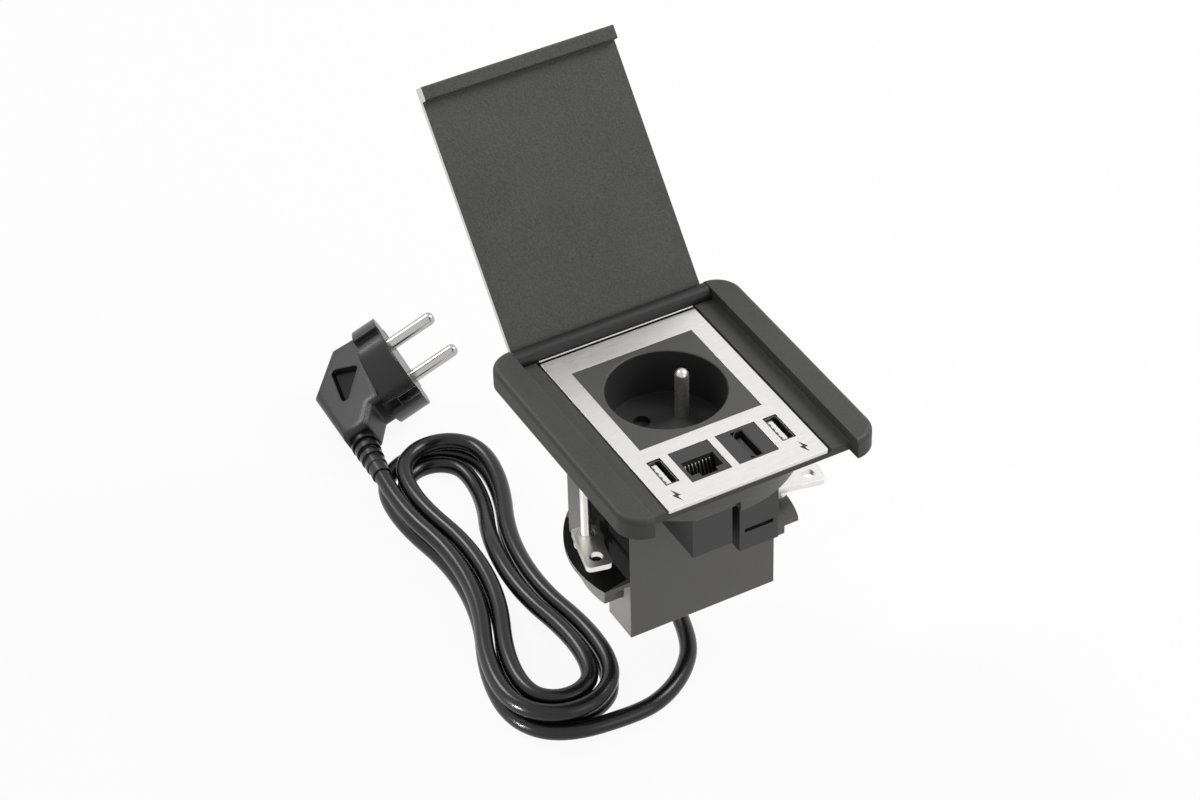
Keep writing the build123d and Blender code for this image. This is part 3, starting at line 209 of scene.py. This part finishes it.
# Each strand: its distance across the hank, and its heights where it starts and ends.
strands = (
    (-outer_r, lower_z, lower_z),
    (outer_r, lower_z, lower_z),
    (-fold_r, lower_z, lower_z),
    (fold_r, lower_z, upper_z),
    (-fold_r, upper_z, upper_z),
    (outer_r, upper_z, upper_z),
    (-outer_r, upper_z, upper_z),
)
for count, (x, low, high) in enumerate(strands):
    heading = 1 if count % 2 == 0 else -1
    add_strand(x, heading, low, high)
    if count + 1 < len(strands):
        add_fold(x, strands[count + 1][0], heading * half_run, high)
route.append(in_hank(-outer_r, half_run + 2 * cord_r, upper_z))

cord_curve = bpy.data.curves.new("mains_cord", "CURVE")
cord_curve.dimensions = "3D"
spline = cord_curve.splines.new("NURBS")
spline.points.add(len(route) - 1)
for point, spot in zip(spline.points, route):
    point.co = (*spot, 1)
spline.order_u = 3
spline.use_endpoint_u = True
spline.resolution_u = 8
cord_curve.bevel_depth = cord_r
cord_curve.bevel_resolution = 7
cord_curve.use_fill_caps = True
cord = bpy.data.objects.new("mains_cord", cord_curve)
scene.collection.objects.link(cord)
sheath_roughness = (0.2, 0.32)
sheath = bpy.data.materials.new("cord_sheath")
sheath.use_nodes = True
tree = sheath.node_tree
shader = tree.nodes["Principled BSDF"]
shader.inputs["Base Color"].default_value = (0.006, 0.006, 0.006, 1)
shader.inputs["Specular IOR Level"].default_value = 0.38
spot = tree.nodes.new("ShaderNodeTexCoord")
waver = tree.nodes.new("ShaderNodeTexNoise")
waver.inputs["Scale"].default_value = 60.0
waver.inputs["Detail"].default_value = 6.0
tree.links.new(spot.outputs["Object"], waver.inputs["Vector"])
dullness = tree.nodes.new("ShaderNodeMapRange")
dullness.inputs["To Min"].default_value = sheath_roughness[0]
dullness.inputs["To Max"].default_value = sheath_roughness[1]
tree.links.new(waver.outputs["Fac"], dullness.inputs["Value"])
tree.links.new(dullness.outputs[0], shader.inputs["Roughness"])
skin = tree.nodes.new("ShaderNodeTexNoise")
skin.inputs["Scale"].default_value = 900.0
tree.links.new(spot.outputs["Object"], skin.inputs["Vector"])
dents = tree.nodes.new("ShaderNodeBump")
dents.inputs["Distance"].default_value = 0.00002
dents.inputs["Strength"].default_value = 0.5
tree.links.new(skin.outputs["Fac"], dents.inputs["Height"])
tree.links.new(dents.outputs[0], shader.inputs["Normal"])
cord_curve.materials.append(sheath)
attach(cord, "base")
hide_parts("cord_lead", "cord_hank")

# Trim frame: a casting in dark textured paint, with two rounded rails joined by a low bridge.
# The open lid's barrel lies in the cradle at its back.


def effect_group(name, inputs, outputs):
    """Make an empty effect with sockets of the given kinds; return it, its inputs and outputs."""
    group = bpy.data.node_groups.new(name, "ShaderNodeTree")
    for label, kind, value in inputs:
        kind = f"NodeSocket{kind}"
        group.interface.new_socket(label, in_out="INPUT", socket_type=kind).default_value = value
    for label, kind in outputs:
        group.interface.new_socket(label, in_out="OUTPUT", socket_type=f"NodeSocket{kind}")
    given = group.nodes.new("NodeGroupInput").outputs
    result = group.nodes.new("NodeGroupOutput").inputs
    return group, given, result


def grain_effect():
    """Make the effect of fine paint or moulding grain with slight shifts of colour and gloss."""
    group, given, result = effect_group(
        "surface_grain",
        (
            ("Colour", "Color", (0.1, 0.1, 0.1, 1)),
            ("Grain Size", "Float", 0.0004),
            ("Colour Spread", "Float", 0.1),
            ("Roughness", "Float", 0.5),
            ("Roughness Spread", "Float", 0.1),
        ),
        (("Colour", "Color"), ("Roughness", "Float"), ("Height", "Float")),
    )
    where = group.nodes.new("ShaderNodeTexCoord")
    fine = group.nodes.new("ShaderNodeTexNoise")
    fine.inputs["Detail"].default_value = 3.0
    group.links.new(where.outputs["Object"], fine.inputs["Vector"])
    group.links.new(worked(group, "DIVIDE", 0.5, given["Grain Size"]), fine.inputs["Scale"])
    broad = group.nodes.new("ShaderNodeTexNoise")
    broad.inputs["Scale"].default_value = 35.0
    broad.inputs["Detail"].default_value = 5.0
    group.links.new(where.outputs["Object"], broad.inputs["Vector"])
    swing = worked(group, "SUBTRACT", fine.outputs["Fac"], 0.5)
    drift = worked(group, "SUBTRACT", broad.outputs["Fac"], 0.5)
    fine_weight = 1.4
    mixed = worked(group, "ADD", worked(group, "MULTIPLY", swing, fine_weight), drift)
    change = worked(group, "MULTIPLY", mixed, given["Colour Spread"])
    tinted = group.nodes.new("ShaderNodeVectorMath")
    tinted.operation = "SCALE"
    group.links.new(given["Colour"], tinted.inputs[0])
    group.links.new(worked(group, "ADD", change, 1.0), tinted.inputs["Scale"])
    group.links.new(tinted.outputs[0], result["Colour"])
    change = worked(group, "MULTIPLY", drift, given["Roughness Spread"])
    group.links.new(worked(group, "ADD", given["Roughness"], change), result["Roughness"])
    group.links.new(fine.outputs["Fac"], result["Height"])
    return group


def soft_edge_effect():
    """Make the effect that rounds sharp edges by a small radius and finds them for wear."""
    group, given, result = effect_group(
        "soft_edge", (("Radius", "Float", 0.0003),), (("Normal", "Vector"), ("Edge", "Float")))
    rounded = group.nodes.new("ShaderNodeBevel")
    rounded.samples = 4
    group.links.new(given["Radius"], rounded.inputs["Radius"])
    plain = group.nodes.new("ShaderNodeNewGeometry")
    turn = group.nodes.new("ShaderNodeVectorMath")
    turn.operation = "DOT_PRODUCT"
    group.links.new(rounded.outputs[0], turn.inputs[0])
    group.links.new(plain.outputs["Normal"], turn.inputs[1])
    found = group.nodes.new("ShaderNodeMapRange")
    found.inputs["From Min"].default_value = 0.995
    found.inputs["From Max"].default_value = 0.85
    group.links.new(turn.outputs["Value"], found.inputs["Value"])
    group.links.new(rounded.outputs[0], result["Normal"])
    group.links.new(found.outputs[0], result["Edge"])
    return group


surface_grain = grain_effect()
soft_edge = soft_edge_effect()
worn_white = 0.35
weld_reach = 2e-6
smooth_angle = math.radians(28)


def coated(
        name, colour, roughness, grain, depth,
        spread=0.12, edge=0.00025, worn=0.25, metallic=0.0, shine=0.5):
    """Make a painted, moulded or metal finish with grain, rounded edges and paler worn edges."""
    material = bpy.data.materials.new(name)
    material.use_nodes = True
    tree = material.node_tree
    shader = tree.nodes["Principled BSDF"]
    shader.inputs["Metallic"].default_value = metallic
    shader.inputs["Specular IOR Level"].default_value = shine
    surface = tree.nodes.new("ShaderNodeGroup")
    surface.node_tree = surface_grain
    surface.inputs["Colour"].default_value = (*colour, 1)
    surface.inputs["Grain Size"].default_value = grain
    surface.inputs["Colour Spread"].default_value = spread
    surface.inputs["Roughness"].default_value = roughness
    surface.inputs["Roughness Spread"].default_value = 0.12
    edges = tree.nodes.new("ShaderNodeGroup")
    edges.node_tree = soft_edge
    edges.inputs["Radius"].default_value = edge
    paler = tree.nodes.new("ShaderNodeMix")
    paler.data_type = "RGBA"
    paled = [worn_white + (1 - worn_white) * value for value in colour]
    paler.inputs["B"].default_value = (*paled, 1)
    tree.links.new(worked(tree, "MULTIPLY", edges.outputs["Edge"], worn), paler.inputs["Factor"])
    tree.links.new(surface.outputs["Colour"], paler.inputs["A"])
    tree.links.new(paler.outputs["Result"], shader.inputs["Base Color"])
    tree.links.new(surface.outputs["Roughness"], shader.inputs["Roughness"])
    bump = tree.nodes.new("ShaderNodeBump")
    bump.inputs["Distance"].default_value = depth
    bump.inputs["Strength"].default_value = 1.0
    tree.links.new(surface.outputs["Height"], bump.inputs["Height"])
    tree.links.new(edges.outputs["Normal"], bump.inputs["Normal"])
    tree.links.new(bump.outputs[0], shader.inputs["Normal"])
    return material


def piece_of(form, name, material):
    """Turn a built form into a piece in one finish."""
    mesh = bpy.data.meshes.new(name)
    form.to_mesh(mesh)
    form.free()
    mesh.materials.clear()
    mesh.materials.append(material)
    piece = bpy.data.objects.new(name, mesh)
    scene.collection.objects.link(piece)
    return piece


def shade_evenly(piece):
    """Weigh a piece's normals by face area, so that its flat faces stay flat beside round ones."""
    even = piece.modifiers.new("even_shading", "WEIGHTED_NORMAL")
    even.keep_sharp = True


def smoothed(name, body, slot, material, *node_names):
    """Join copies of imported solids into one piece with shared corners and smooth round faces."""
    form = bmesh.new()
    for node_name in node_names:
        form.from_mesh(nodes[node_name].data)
    bmesh.ops.remove_doubles(form, verts=form.verts, dist=weld_reach)
    for face in form.faces:
        face.smooth = True
        face.material_index = 0
    for edge in form.edges:
        edge.smooth = len(edge.link_faces) == 2 and edge.calc_face_angle(0.0) < smooth_angle
    piece = piece_of(form, name, material)
    shade_evenly(piece)
    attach(piece, body)
    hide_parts(*node_names)
    return piece


trim_paint = coated(
    "trim_paint", (0.042, 0.042, 0.04), 0.55, 0.00035, 0.00008, spread=0.5, shine=0.4)
smoothed("trim_frame", "base", "trim_paint", trim_paint, "frame")

# Face plate: 1.5 mm stainless steel, brushed from side to side, with five windows. It lies in the
# frame's seat.


def brushed_effect():
    """Make the effect of brushed lines that run along one axis of the piece."""
    group, given, result = effect_group(
        "brushed_lines",
        (
            ("Stretch", "Vector", (60.0, 5000.0, 5000.0)),
            ("Roughness", "Float", 0.3),
            ("Roughness Spread", "Float", 0.25),
        ),
        (("Roughness", "Float"), ("Height", "Float"), ("Shade", "Float")),
    )
    where = group.nodes.new("ShaderNodeTexCoord")
    drawn = group.nodes.new("ShaderNodeVectorMath")
    drawn.operation = "MULTIPLY"
    group.links.new(where.outputs["Object"], drawn.inputs[0])
    group.links.new(given["Stretch"], drawn.inputs[1])
    lines = group.nodes.new("ShaderNodeTexNoise")
    lines.inputs["Scale"].default_value = 1.0
    lines.inputs["Detail"].default_value = 4.0
    lines.inputs["Roughness"].default_value = 0.65
    group.links.new(drawn.outputs[0], lines.inputs["Vector"])
    centred = worked(group, "SUBTRACT", lines.outputs["Fac"], 0.5)
    change = worked(group, "MULTIPLY", centred, given["Roughness Spread"])
    group.links.new(worked(group, "ADD", change, given["Roughness"]), result["Roughness"])
    group.links.new(lines.outputs["Fac"], result["Height"])
    group.links.new(lines.outputs["Fac"], result["Shade"])
    return group


brushed_lines = brushed_effect()


def brushed(name, colour, stretch, roughness, depth):
    """Make a brushed metal finish whose fine lines run along one axis."""
    material = bpy.data.materials.new(name)
    material.use_nodes = True
    tree = material.node_tree
    shader = tree.nodes["Principled BSDF"]
    shader.inputs["Metallic"].default_value = 1.0
    lines = tree.nodes.new("ShaderNodeGroup")
    lines.node_tree = brushed_lines
    lines.inputs["Stretch"].default_value = stretch
    lines.inputs["Roughness"].default_value = roughness
    shades = tree.nodes.new("ShaderNodeMix")
    shades.data_type = "RGBA"
    dark_line, bright_line = 0.9, 1.08
    shades.inputs["A"].default_value = (*[dark_line * value for value in colour], 1)
    shades.inputs["B"].default_value = (*[min(1.0, bright_line * value) for value in colour], 1)
    tree.links.new(lines.outputs["Shade"], shades.inputs["Factor"])
    tree.links.new(shades.outputs["Result"], shader.inputs["Base Color"])
    tree.links.new(lines.outputs["Roughness"], shader.inputs["Roughness"])
    edges = tree.nodes.new("ShaderNodeGroup")
    edges.node_tree = soft_edge
    edges.inputs["Radius"].default_value = 0.00015
    bump = tree.nodes.new("ShaderNodeBump")
    bump.inputs["Distance"].default_value = depth
    tree.links.new(lines.outputs["Height"], bump.inputs["Height"])
    tree.links.new(edges.outputs["Normal"], bump.inputs["Normal"])
    tree.links.new(bump.outputs[0], shader.inputs["Normal"])
    return material


plate_steel = brushed("brushed_plate", (0.78, 0.77, 0.75), (240.0, 2300.0, 2300.0), 0.32, 0.000007)
smoothed("brushed_face_plate", "base", "brushed_plate", plate_steel, "face_plate")

# Rear strip: a thin bead that stands up behind the plate on a carrier. The bead is painted white
# as a painted highlight, and the carrier painted near black as painted shade, which leaves a dark
# gap between the plate and the bead.
strip_metal = coated(
    "strip_metal", (0.97, 0.97, 0.96), 0.5, 0.0006, 0.000001, spread=0.02, worn=0.0)
bead_black = coated("bead_black", (0.01, 0.01, 0.01), 0.6, 0.0006, 0.000001, worn=0.0, shine=0.2)


def blocks(name, material, spots, size, edge):
    """Make equal blocks with rounded edges at the given middles, as one piece."""
    form = bmesh.new()
    for spot in spots:
        made = bmesh.ops.create_cube(form, size=1.0)["verts"]
        for corner in made:
            corner.co = Vector(spot) + Vector([a * b for a, b in zip(corner.co, size)])
    bmesh.ops.bevel(form, geom=form.edges[:], offset=edge, segments=3, affect="EDGES", profile=0.5)
    for face in form.faces:
        face.smooth = True
    piece = piece_of(form, name, material)
    shade_evenly(piece)
    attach(piece, "base")
    return piece


strip_y = 0.04186
strip_length, strip_thick, strip_edge = 0.058, 0.00046, 0.0001
bead_size = (strip_length, strip_thick, 0.0003)
carrier_size = (strip_length, strip_thick, 0.0022)
bead_spots = [(0, strip_y, 0.0035)]
carrier_spots = [(0, strip_y, 0.0023)]
blocks("bright_rear_bead", strip_metal, bead_spots, bead_size, strip_edge)
carrier = blocks(
    "rear_bead_carrier", bead_black, carrier_spots, carrier_size, strip_edge)
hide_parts("rear_strip")

# Pictograms: a printed lightning bolt in front of each charging port. Each is 0.04 mm thick and
# sinks 0.01 mm into the plate.
print_black = coated("print_black", (0.01, 0.01, 0.01), 0.45, 0.0003, 0.000002, worn=0.0)
bolt_corners = ((-0.5, 3.1), (-0.15, 0.45), (-1.3, 0.45), (0.5, -3.1), (0.15, -0.45), (1.3, -0.45))
plate_top = 0.0032
bolt_side_x = 0.0232
bolt_y = -0.0378
bolt_thick, bolt_sink = 0.00004, 0.00001
form = bmesh.new()
for bolt_x in (-bolt_side_x, bolt_side_x):
    under, over = [], []
    for x, y in bolt_corners:
        spot = Vector((bolt_x + x / 1000, bolt_y + y / 1000, plate_top - bolt_sink))
        under.append(form.verts.new(spot))
        over.append(form.verts.new(spot + Vector((0, 0, bolt_thick))))
    form.faces.new(reversed(under))
    form.faces.new(over)
    for here in range(len(bolt_corners)):
        form.faces.new((under[here - 1], under[here], over[here], over[here - 1]))
bolts = piece_of(form, "port_pictograms", print_black)
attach(bolts, "base")

# Lid: a pressed plate in textured paint with a barrel along its back and a lip along its front.
# Its cut side faces and the ends of the lip are bare metal.


def dressed(piece, material, chosen):
    """Give a second finish to the faces that a test of their middle and direction picks."""
    piece.data.materials.append(material)
    for face in piece.data.polygons:
        if chosen(face.center, face.normal):
            face.material_index = len(piece.data.materials) - 1


lid_paint = coated("lid_paint", (0.04, 0.04, 0.038), 0.55, 0.0004, 0.00012, spread=1.2)
# The barrel gets a darker copy of the lid's paint: painted shade.
barrel_paint = coated(
    "barrel_paint", (0.01, 0.01, 0.01), 0.5, 0.0004, 0.00005, spread=0.5, shine=0.35)
cut_metal = coated("cut_metal", (0.62, 0.62, 0.6), 0.35, 0.0005, 0.000004, worn=0.0, metallic=1.0)
lid = smoothed("flip_lid", "lid", "lid_paint", lid_paint, "lid")
hinge_line = Vector((0.04565, 0.004))
barrel_reach = 0.0034
cut_facing = 0.95
dressed(lid, barrel_paint, lambda middle, facing: (middle.yz - hinge_line).length < barrel_reach)
dressed(lid, cut_metal, lambda middle, facing: abs(facing.x) > cut_facing)
smoothed("lid_hinge_pins", "base", "bright_steel", plate_steel, "hinge_pins")

# Mounting ring and housing: black moulded shells that hang in the desk bore, held together by four
# screws. The ring carries the frame, and the drum and the base below it hold the supply. The wall
# and the flange top in the left claw bay are painted near black as painted shade.
moulding = coated(
    "housing_plastic", (0.09, 0.088, 0.085), 0.3, 0.0006, 0.000006, spread=0.08, shine=0.5)
smoothed("bore_ring", "base", "housing_plastic", moulding, "mount_ring")
drum = smoothed("upper_housing", "base", "housing_plastic", moulding, "main_housing")
bay_black = coated("bay_black", (0.006, 0.006, 0.006), 0.7, 0.0006, 0.00001, worn=0.0, shine=0.1)
base = smoothed("lower_housing", "base", "housing_plastic", moulding, "base_housing")
bay_wall_x = -0.0275
bay_back_y = 0.009
bay_slack = 0.001
bay_facing = 0.9


def on_bay_wall(middle, facing):
    """Tell the drum's flat wall inside the left claw bay."""
    on_wall = abs(middle.x - bay_wall_x) < bay_slack and middle.y < bay_back_y
    return on_wall and facing.x < -bay_facing


def on_bay_floor(middle, facing):
    """Tell the top of the base's flange left of that wall."""
    return facing.z > bay_facing and middle.x < bay_wall_x - bay_slack


# The bay's wall and the flange top left of it get near black as painted shade.
dressed(drum, bay_black, on_bay_wall)
dressed(base, bay_black, on_bay_floor)
smoothed("joining_screws", "base", "zinc_steel", plate_steel, "housing_screws")

# Mains socket: a square moulded flange around a deep round recess, with its earth pin, its
# spring contacts, the sprung shutter and the base behind.
insert_plastic = coated("insert_plastic", (0.055, 0.055, 0.053), 0.5, 0.0003, 0.00003, spread=0.25)
pin_steel = coated(
    "pin_steel", (0.62, 0.61, 0.59), 0.28, 0.0008, 0.0000004, spread=0.03, worn=0.0, metallic=0.75)
# The recess's wall and floor get a darker plastic than the flange: painted shade.
recess_black = coated(
    "recess_black", (0.034, 0.034, 0.034), 0.45, 0.0005, 0.00001, worn=0.0, shine=0.35)
recess_middle = Vector((0.0, 0.0091))
recess_reach = 0.0201
recess_low, recess_high = -0.0165, 0.0028


def in_recess(middle, facing):
    """Tell the wall and floor of the round recess from the flange around it."""
    near = (middle.xy - recess_middle).length < recess_reach
    return near and recess_low < middle.z < recess_high


recess = smoothed("round_recess", "base", "insert_plastic", insert_plastic, "socket_insert")
dressed(recess, recess_black, in_recess)
smoothed("standing_earth_pin", "base", "bright_steel", pin_steel, "earth_pin")
smoothed("socket_back", "base", "insert_plastic", insert_plastic, "socket_base")
smoothed("contact_springs", "base", "contact_metal", pin_steel, "contact_sleeves")
# The shutter inside the recess gets the same painted shade.
smoothed("sprung_shutter", "shutter", "insert_plastic", recess_black, "shutter")

# Charging ports: two pressed steel shells that stand in the plate's windows. Each holds a pale
# moulded tongue with four contacts.
tongue_plastic = coated("tongue_plastic", (0.86, 0.86, 0.84), 0.4, 0.0004, 0.00001, worn=0.0)
contact_metal = coated(
    "contact_metal", (0.16, 0.13, 0.08), 0.35, 0.0006, 0.000002, worn=0.0, metallic=1.0)
# The charging shells are steel, darkened to near black as painted shade inside the ports.
port_steel = coated(
    "port_steel", (0.12, 0.12, 0.118), 0.3, 0.0006, 0.000002, worn=0.0, metallic=1.0)
smoothed("charging_shells", "base", "port_steel", port_steel, "usb_shells")
port_x, port_y = 0.0213, -0.0259
tongue_size = (0.0019, 0.0108, 0.0094)
tongue_top = 0.002
tongue_shift = -0.0004
tongue_z = tongue_top - tongue_size[2] / 2
tongue_edge = 0.00025
tongue_spots = [(side * port_x + tongue_shift, port_y, tongue_z) for side in (-1, 1)]
tongues = blocks(
    "charging_tongues", tongue_plastic, tongue_spots, tongue_size, tongue_edge)
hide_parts("usb_tongues")
pad_size = (0.0008, 0.0011, 0.006)
pad_count = 4
pad_step = 0.0024
pad_middle = (pad_count - 1) / 2
pad_z = -0.00095
pad_edge = 0.00006
pad_spots = []
for side in (-1, 1):
    pad_x = side * port_x + tongue_shift - tongue_size[0] / 2
    for step in range(pad_count):
        pad_spots.append((pad_x, port_y + (step - pad_middle) * pad_step, pad_z))
pads = blocks("charging_contacts", contact_metal, pad_spots, pad_size, pad_edge)
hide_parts("usb_contacts")

# Network and video jacks: two black moulded modules that clip into the plate's windows. One has
# eight spring wires, and the other a shell around its tongue, painted near black as painted shade.
module_plastic = coated("module_plastic", (0.03, 0.03, 0.03), 0.4, 0.0004, 0.00002)
smoothed("network_jack", "base", "module_plastic", module_plastic, "rj45_body")
spring_wire = coated(
    "spring_wire", (0.6, 0.59, 0.56), 0.25, 0.0006, 0.000002, worn=0.0, metallic=1.0)
smoothed("network_wires", "base", "contact_metal", spring_wire, "rj45_wires")
smoothed("video_jack", "base", "module_plastic", module_plastic, "hdmi_body")
dark_shell = coated("dark_shell", (0.02, 0.02, 0.02), 0.3, 0.0006, 0.000002, worn=0.1)
smoothed("video_shell", "base", "port_steel", dark_shell, "hdmi_shell")
smoothed("video_tongue", "base", "module_plastic", module_plastic, "hdmi_tongue")

# Supply inside the housing: a green board that carries a transformer wound in yellow tape, two
# capacitors in steel cans and the mains terminals in pale plastic.
board_green = coated("board_green", (0.02, 0.09, 0.04), 0.4, 0.0008, 0.00001)
tape = coated("winding_tape", (0.55, 0.4, 0.05), 0.4, 0.0008, 0.00001)
terminal_plastic = coated("terminal_plastic", (0.5, 0.5, 0.47), 0.45, 0.0004, 0.00001)
smoothed("supply_board_piece", "base", "board", board_green, "supply_board")
smoothed("transformer_piece", "base", "winding_tape", tape, "transformer")
smoothed("capacitor_pair", "base", "port_steel", pin_steel, "capacitors")
smoothed("mains_terminals", "base", "terminal_plastic", terminal_plastic, "terminal_block")

# Clamps: a long screw on each side lifts a flanged nut and swings a steel claw against the desk.
# Each screw keeps its packed head and gets a turned shank with a real helical thread.
zinc = coated("zinc_steel", (0.82, 0.81, 0.78), 0.32, 0.0008, 0.000004, worn=0.0, metallic=1.0)


def thread_tree():
    """Make the node tree of a threaded shank that grows downwards from the origin."""
    tree = bpy.data.node_groups.new("screw_thread", "GeometryNodeTree")
    tree.interface.new_socket("Geometry", in_out="INPUT", socket_type="NodeSocketGeometry")
    sizes = (("Length", 0.04), ("Pitch", 0.0006), ("Core Radius", 0.0015), ("Ridge", 0.00025))
    for label, value in sizes:
        socket = tree.interface.new_socket(label, in_out="INPUT", socket_type="NodeSocketFloat")
        socket.default_value = value
    tree.interface.new_socket("Metal", in_out="INPUT", socket_type="NodeSocketMaterial")
    tree.interface.new_socket("Geometry", in_out="OUTPUT", socket_type="NodeSocketGeometry")
    given = tree.nodes.new("NodeGroupInput").outputs
    result = tree.nodes.new("NodeGroupOutput").inputs
    helix = tree.nodes.new("GeometryNodeCurveSpiral")
    helix.inputs["Resolution"].default_value = 24
    turns = worked(tree, "DIVIDE", given["Length"], given["Pitch"])
    tree.links.new(turns, helix.inputs["Rotations"])
    tree.links.new(given["Core Radius"], helix.inputs["Start Radius"])
    tree.links.new(given["Core Radius"], helix.inputs["End Radius"])
    tree.links.new(given["Length"], helix.inputs["Height"])
    upright = tree.nodes.new("GeometryNodeSetCurveNormal")
    upright.mode = "Z_UP"
    tree.links.new(helix.outputs["Curve"], upright.inputs["Curve"])
    profile = tree.nodes.new("GeometryNodeCurvePrimitiveCircle")
    profile.inputs["Resolution"].default_value = 4
    tree.links.new(given["Ridge"], profile.inputs["Radius"])
    ridge = tree.nodes.new("GeometryNodeCurveToMesh")
    ridge.inputs["Fill Caps"].default_value = True
    tree.links.new(upright.outputs["Curve"], ridge.inputs["Curve"])
    tree.links.new(profile.outputs["Curve"], ridge.inputs["Profile Curve"])
    core = tree.nodes.new("GeometryNodeMeshCylinder")
    core.inputs["Vertices"].default_value = 32
    tree.links.new(given["Core Radius"], core.inputs["Radius"])
    tree.links.new(given["Length"], core.inputs["Depth"])
    half = tree.nodes.new("ShaderNodeCombineXYZ")
    tree.links.new(worked(tree, "MULTIPLY", given["Length"], 0.5), half.inputs["Z"])
    lifted = tree.nodes.new("GeometryNodeTransform")
    tree.links.new(core.outputs["Mesh"], lifted.inputs["Geometry"])
    tree.links.new(half.outputs[0], lifted.inputs["Translation"])
    both = tree.nodes.new("GeometryNodeJoinGeometry")
    tree.links.new(lifted.outputs["Geometry"], both.inputs["Geometry"])
    tree.links.new(ridge.outputs["Mesh"], both.inputs["Geometry"])
    down = tree.nodes.new("ShaderNodeCombineXYZ")
    tree.links.new(worked(tree, "MULTIPLY", given["Length"], -1.0), down.inputs["Z"])
    hung = tree.nodes.new("GeometryNodeTransform")
    tree.links.new(both.outputs["Geometry"], hung.inputs["Geometry"])
    tree.links.new(down.outputs[0], hung.inputs["Translation"])
    real = tree.nodes.new("GeometryNodeRealizeInstances")
    tree.links.new(hung.outputs["Geometry"], real.inputs["Geometry"])
    finish = tree.nodes.new("GeometryNodeSetMaterial")
    tree.links.new(real.outputs["Geometry"], finish.inputs["Geometry"])
    tree.links.new(given["Metal"], finish.inputs["Material"])
    tree.links.new(finish.outputs["Geometry"], result["Geometry"])
    return tree


def grown(tree, **values):
    """Return the plain mesh that a node tree makes from the given inputs."""
    seed = bpy.data.objects.new("seed", bpy.data.meshes.new("seed"))
    scene.collection.objects.link(seed)
    modifier = seed.modifiers.new("form", "NODES")
    modifier.node_group = tree
    for item in tree.interface.items_tree:
        label = item.name.replace(" ", "_").lower()
        if item.in_out == "INPUT" and label in values:
            modifier[item.identifier] = values[label]
    made = seed.evaluated_get(bpy.context.evaluated_depsgraph_get())
    mesh = bpy.data.meshes.new_from_object(made)
    bpy.data.objects.remove(seed)
    return mesh


screw_thread = thread_tree()
head_height = 0.0022
head_slack = 0.0001
thread_pitch = 0.0006
crest_r = 0.00175
ridge = 0.00035
screw_spots = {"left": Vector((-0.0346, 0.002, 0)), "right": Vector((0.0346, -0.002, 0))}
for side, screw_spot in screw_spots.items():
    low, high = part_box(f"clamp_screw_{side}")
    head_low = high[2] - head_height
    screw = smoothed(
        f"long_screw_{side}", f"screw_{side}", "bright_steel", zinc, f"clamp_screw_{side}")
    shank = grown(
        screw_thread, length=head_low - low[2] - ridge, pitch=thread_pitch,
        core_radius=crest_r - ridge, ridge=ridge, metal=zinc)
    shank.transform(Matrix.Translation(screw_spot + Vector((0, 0, head_low))))
    form = bmesh.new()
    form.from_mesh(screw.data)
    shaft = [face for face in form.faces if face.calc_center_median().z < head_low - head_slack]
    bmesh.ops.delete(form, geom=shaft, context="FACES")
    form.from_mesh(shank)
    # The shank's faces have four corners or more; the head's triangles keep their own shading.
    for face in form.faces:
        face.material_index = 0
        face.smooth = len(face.verts) > 3 or face.smooth
    form.to_mesh(screw.data)
    form.free()
    smoothed(f"screw_washer_{side}", f"screw_{side}", "bright_steel", zinc, f"clamp_clip_{side}")
    smoothed(f"steel_claw_{side}", f"claw_{side}", "bright_steel", zinc, f"claw_{side}")
    smoothed(f"flanged_nut_{side}", f"nut_{side}", "zinc_steel", zinc, f"claw_nut_{side}")

# Grommet and plug: ribbed black plastic where the lead leaves the base, and an angled moulded plug
# with a ribbed neck, two round pins and two earth clips.
plug_colour = (0.007, 0.007, 0.007)
plug_black = coated("plug_plastic", plug_colour, 0.3, 0.0005, 0.00002, edge=0.002, worn=0.03)
rib_black = coated("rib_plastic", plug_colour, 0.3, 0.0005, 0.00002, edge=0.0006, worn=0.03)
# The floor and walls of the upper finger hollow get near black as painted shade.
hollow_black = coated(
    "hollow_black", (0.003, 0.003, 0.003), 0.5, 0.0005, 0.00002, worn=0.0, shine=0.15)
nickel = coated("plug_nickel", (0.46, 0.455, 0.44), 0.12, 0.0008, 0.000001, worn=0.0, metallic=1.0)
smoothed("lead_grommet", "base", "plug_plastic", rib_black, "cord_gland")
plug_shell = smoothed("plug_shell", "base", "plug_plastic", plug_black, "plug_body")
grip_facing = Vector((-0.42, 0.05, 0.906)).normalized()
hollow_middle = Vector((-0.0464, 0.1628, -0.0838))
hollow_reach = 0.012
hollow_depth = 0.0019
hollow_facing = 0.3


def in_finger_hollow(middle, facing):
    """Tell the floor and walls of the upper finger hollow from the grip's flat side."""
    inward = middle - hollow_middle
    near = inward.length < hollow_reach and abs(inward.dot(grip_facing)) < hollow_depth
    return near and facing.dot(grip_facing) > hollow_facing


dressed(plug_shell, hollow_black, in_finger_hollow)
plug_neck = smoothed("plug_neck", "base", "plug_plastic", rib_black, "plug_relief")
prongs = smoothed("plug_prongs", "base", "plug_nickel", nickel, "plug_pins")
side_clips = smoothed("plug_side_clips", "base", "plug_nickel", nickel, "plug_clips")

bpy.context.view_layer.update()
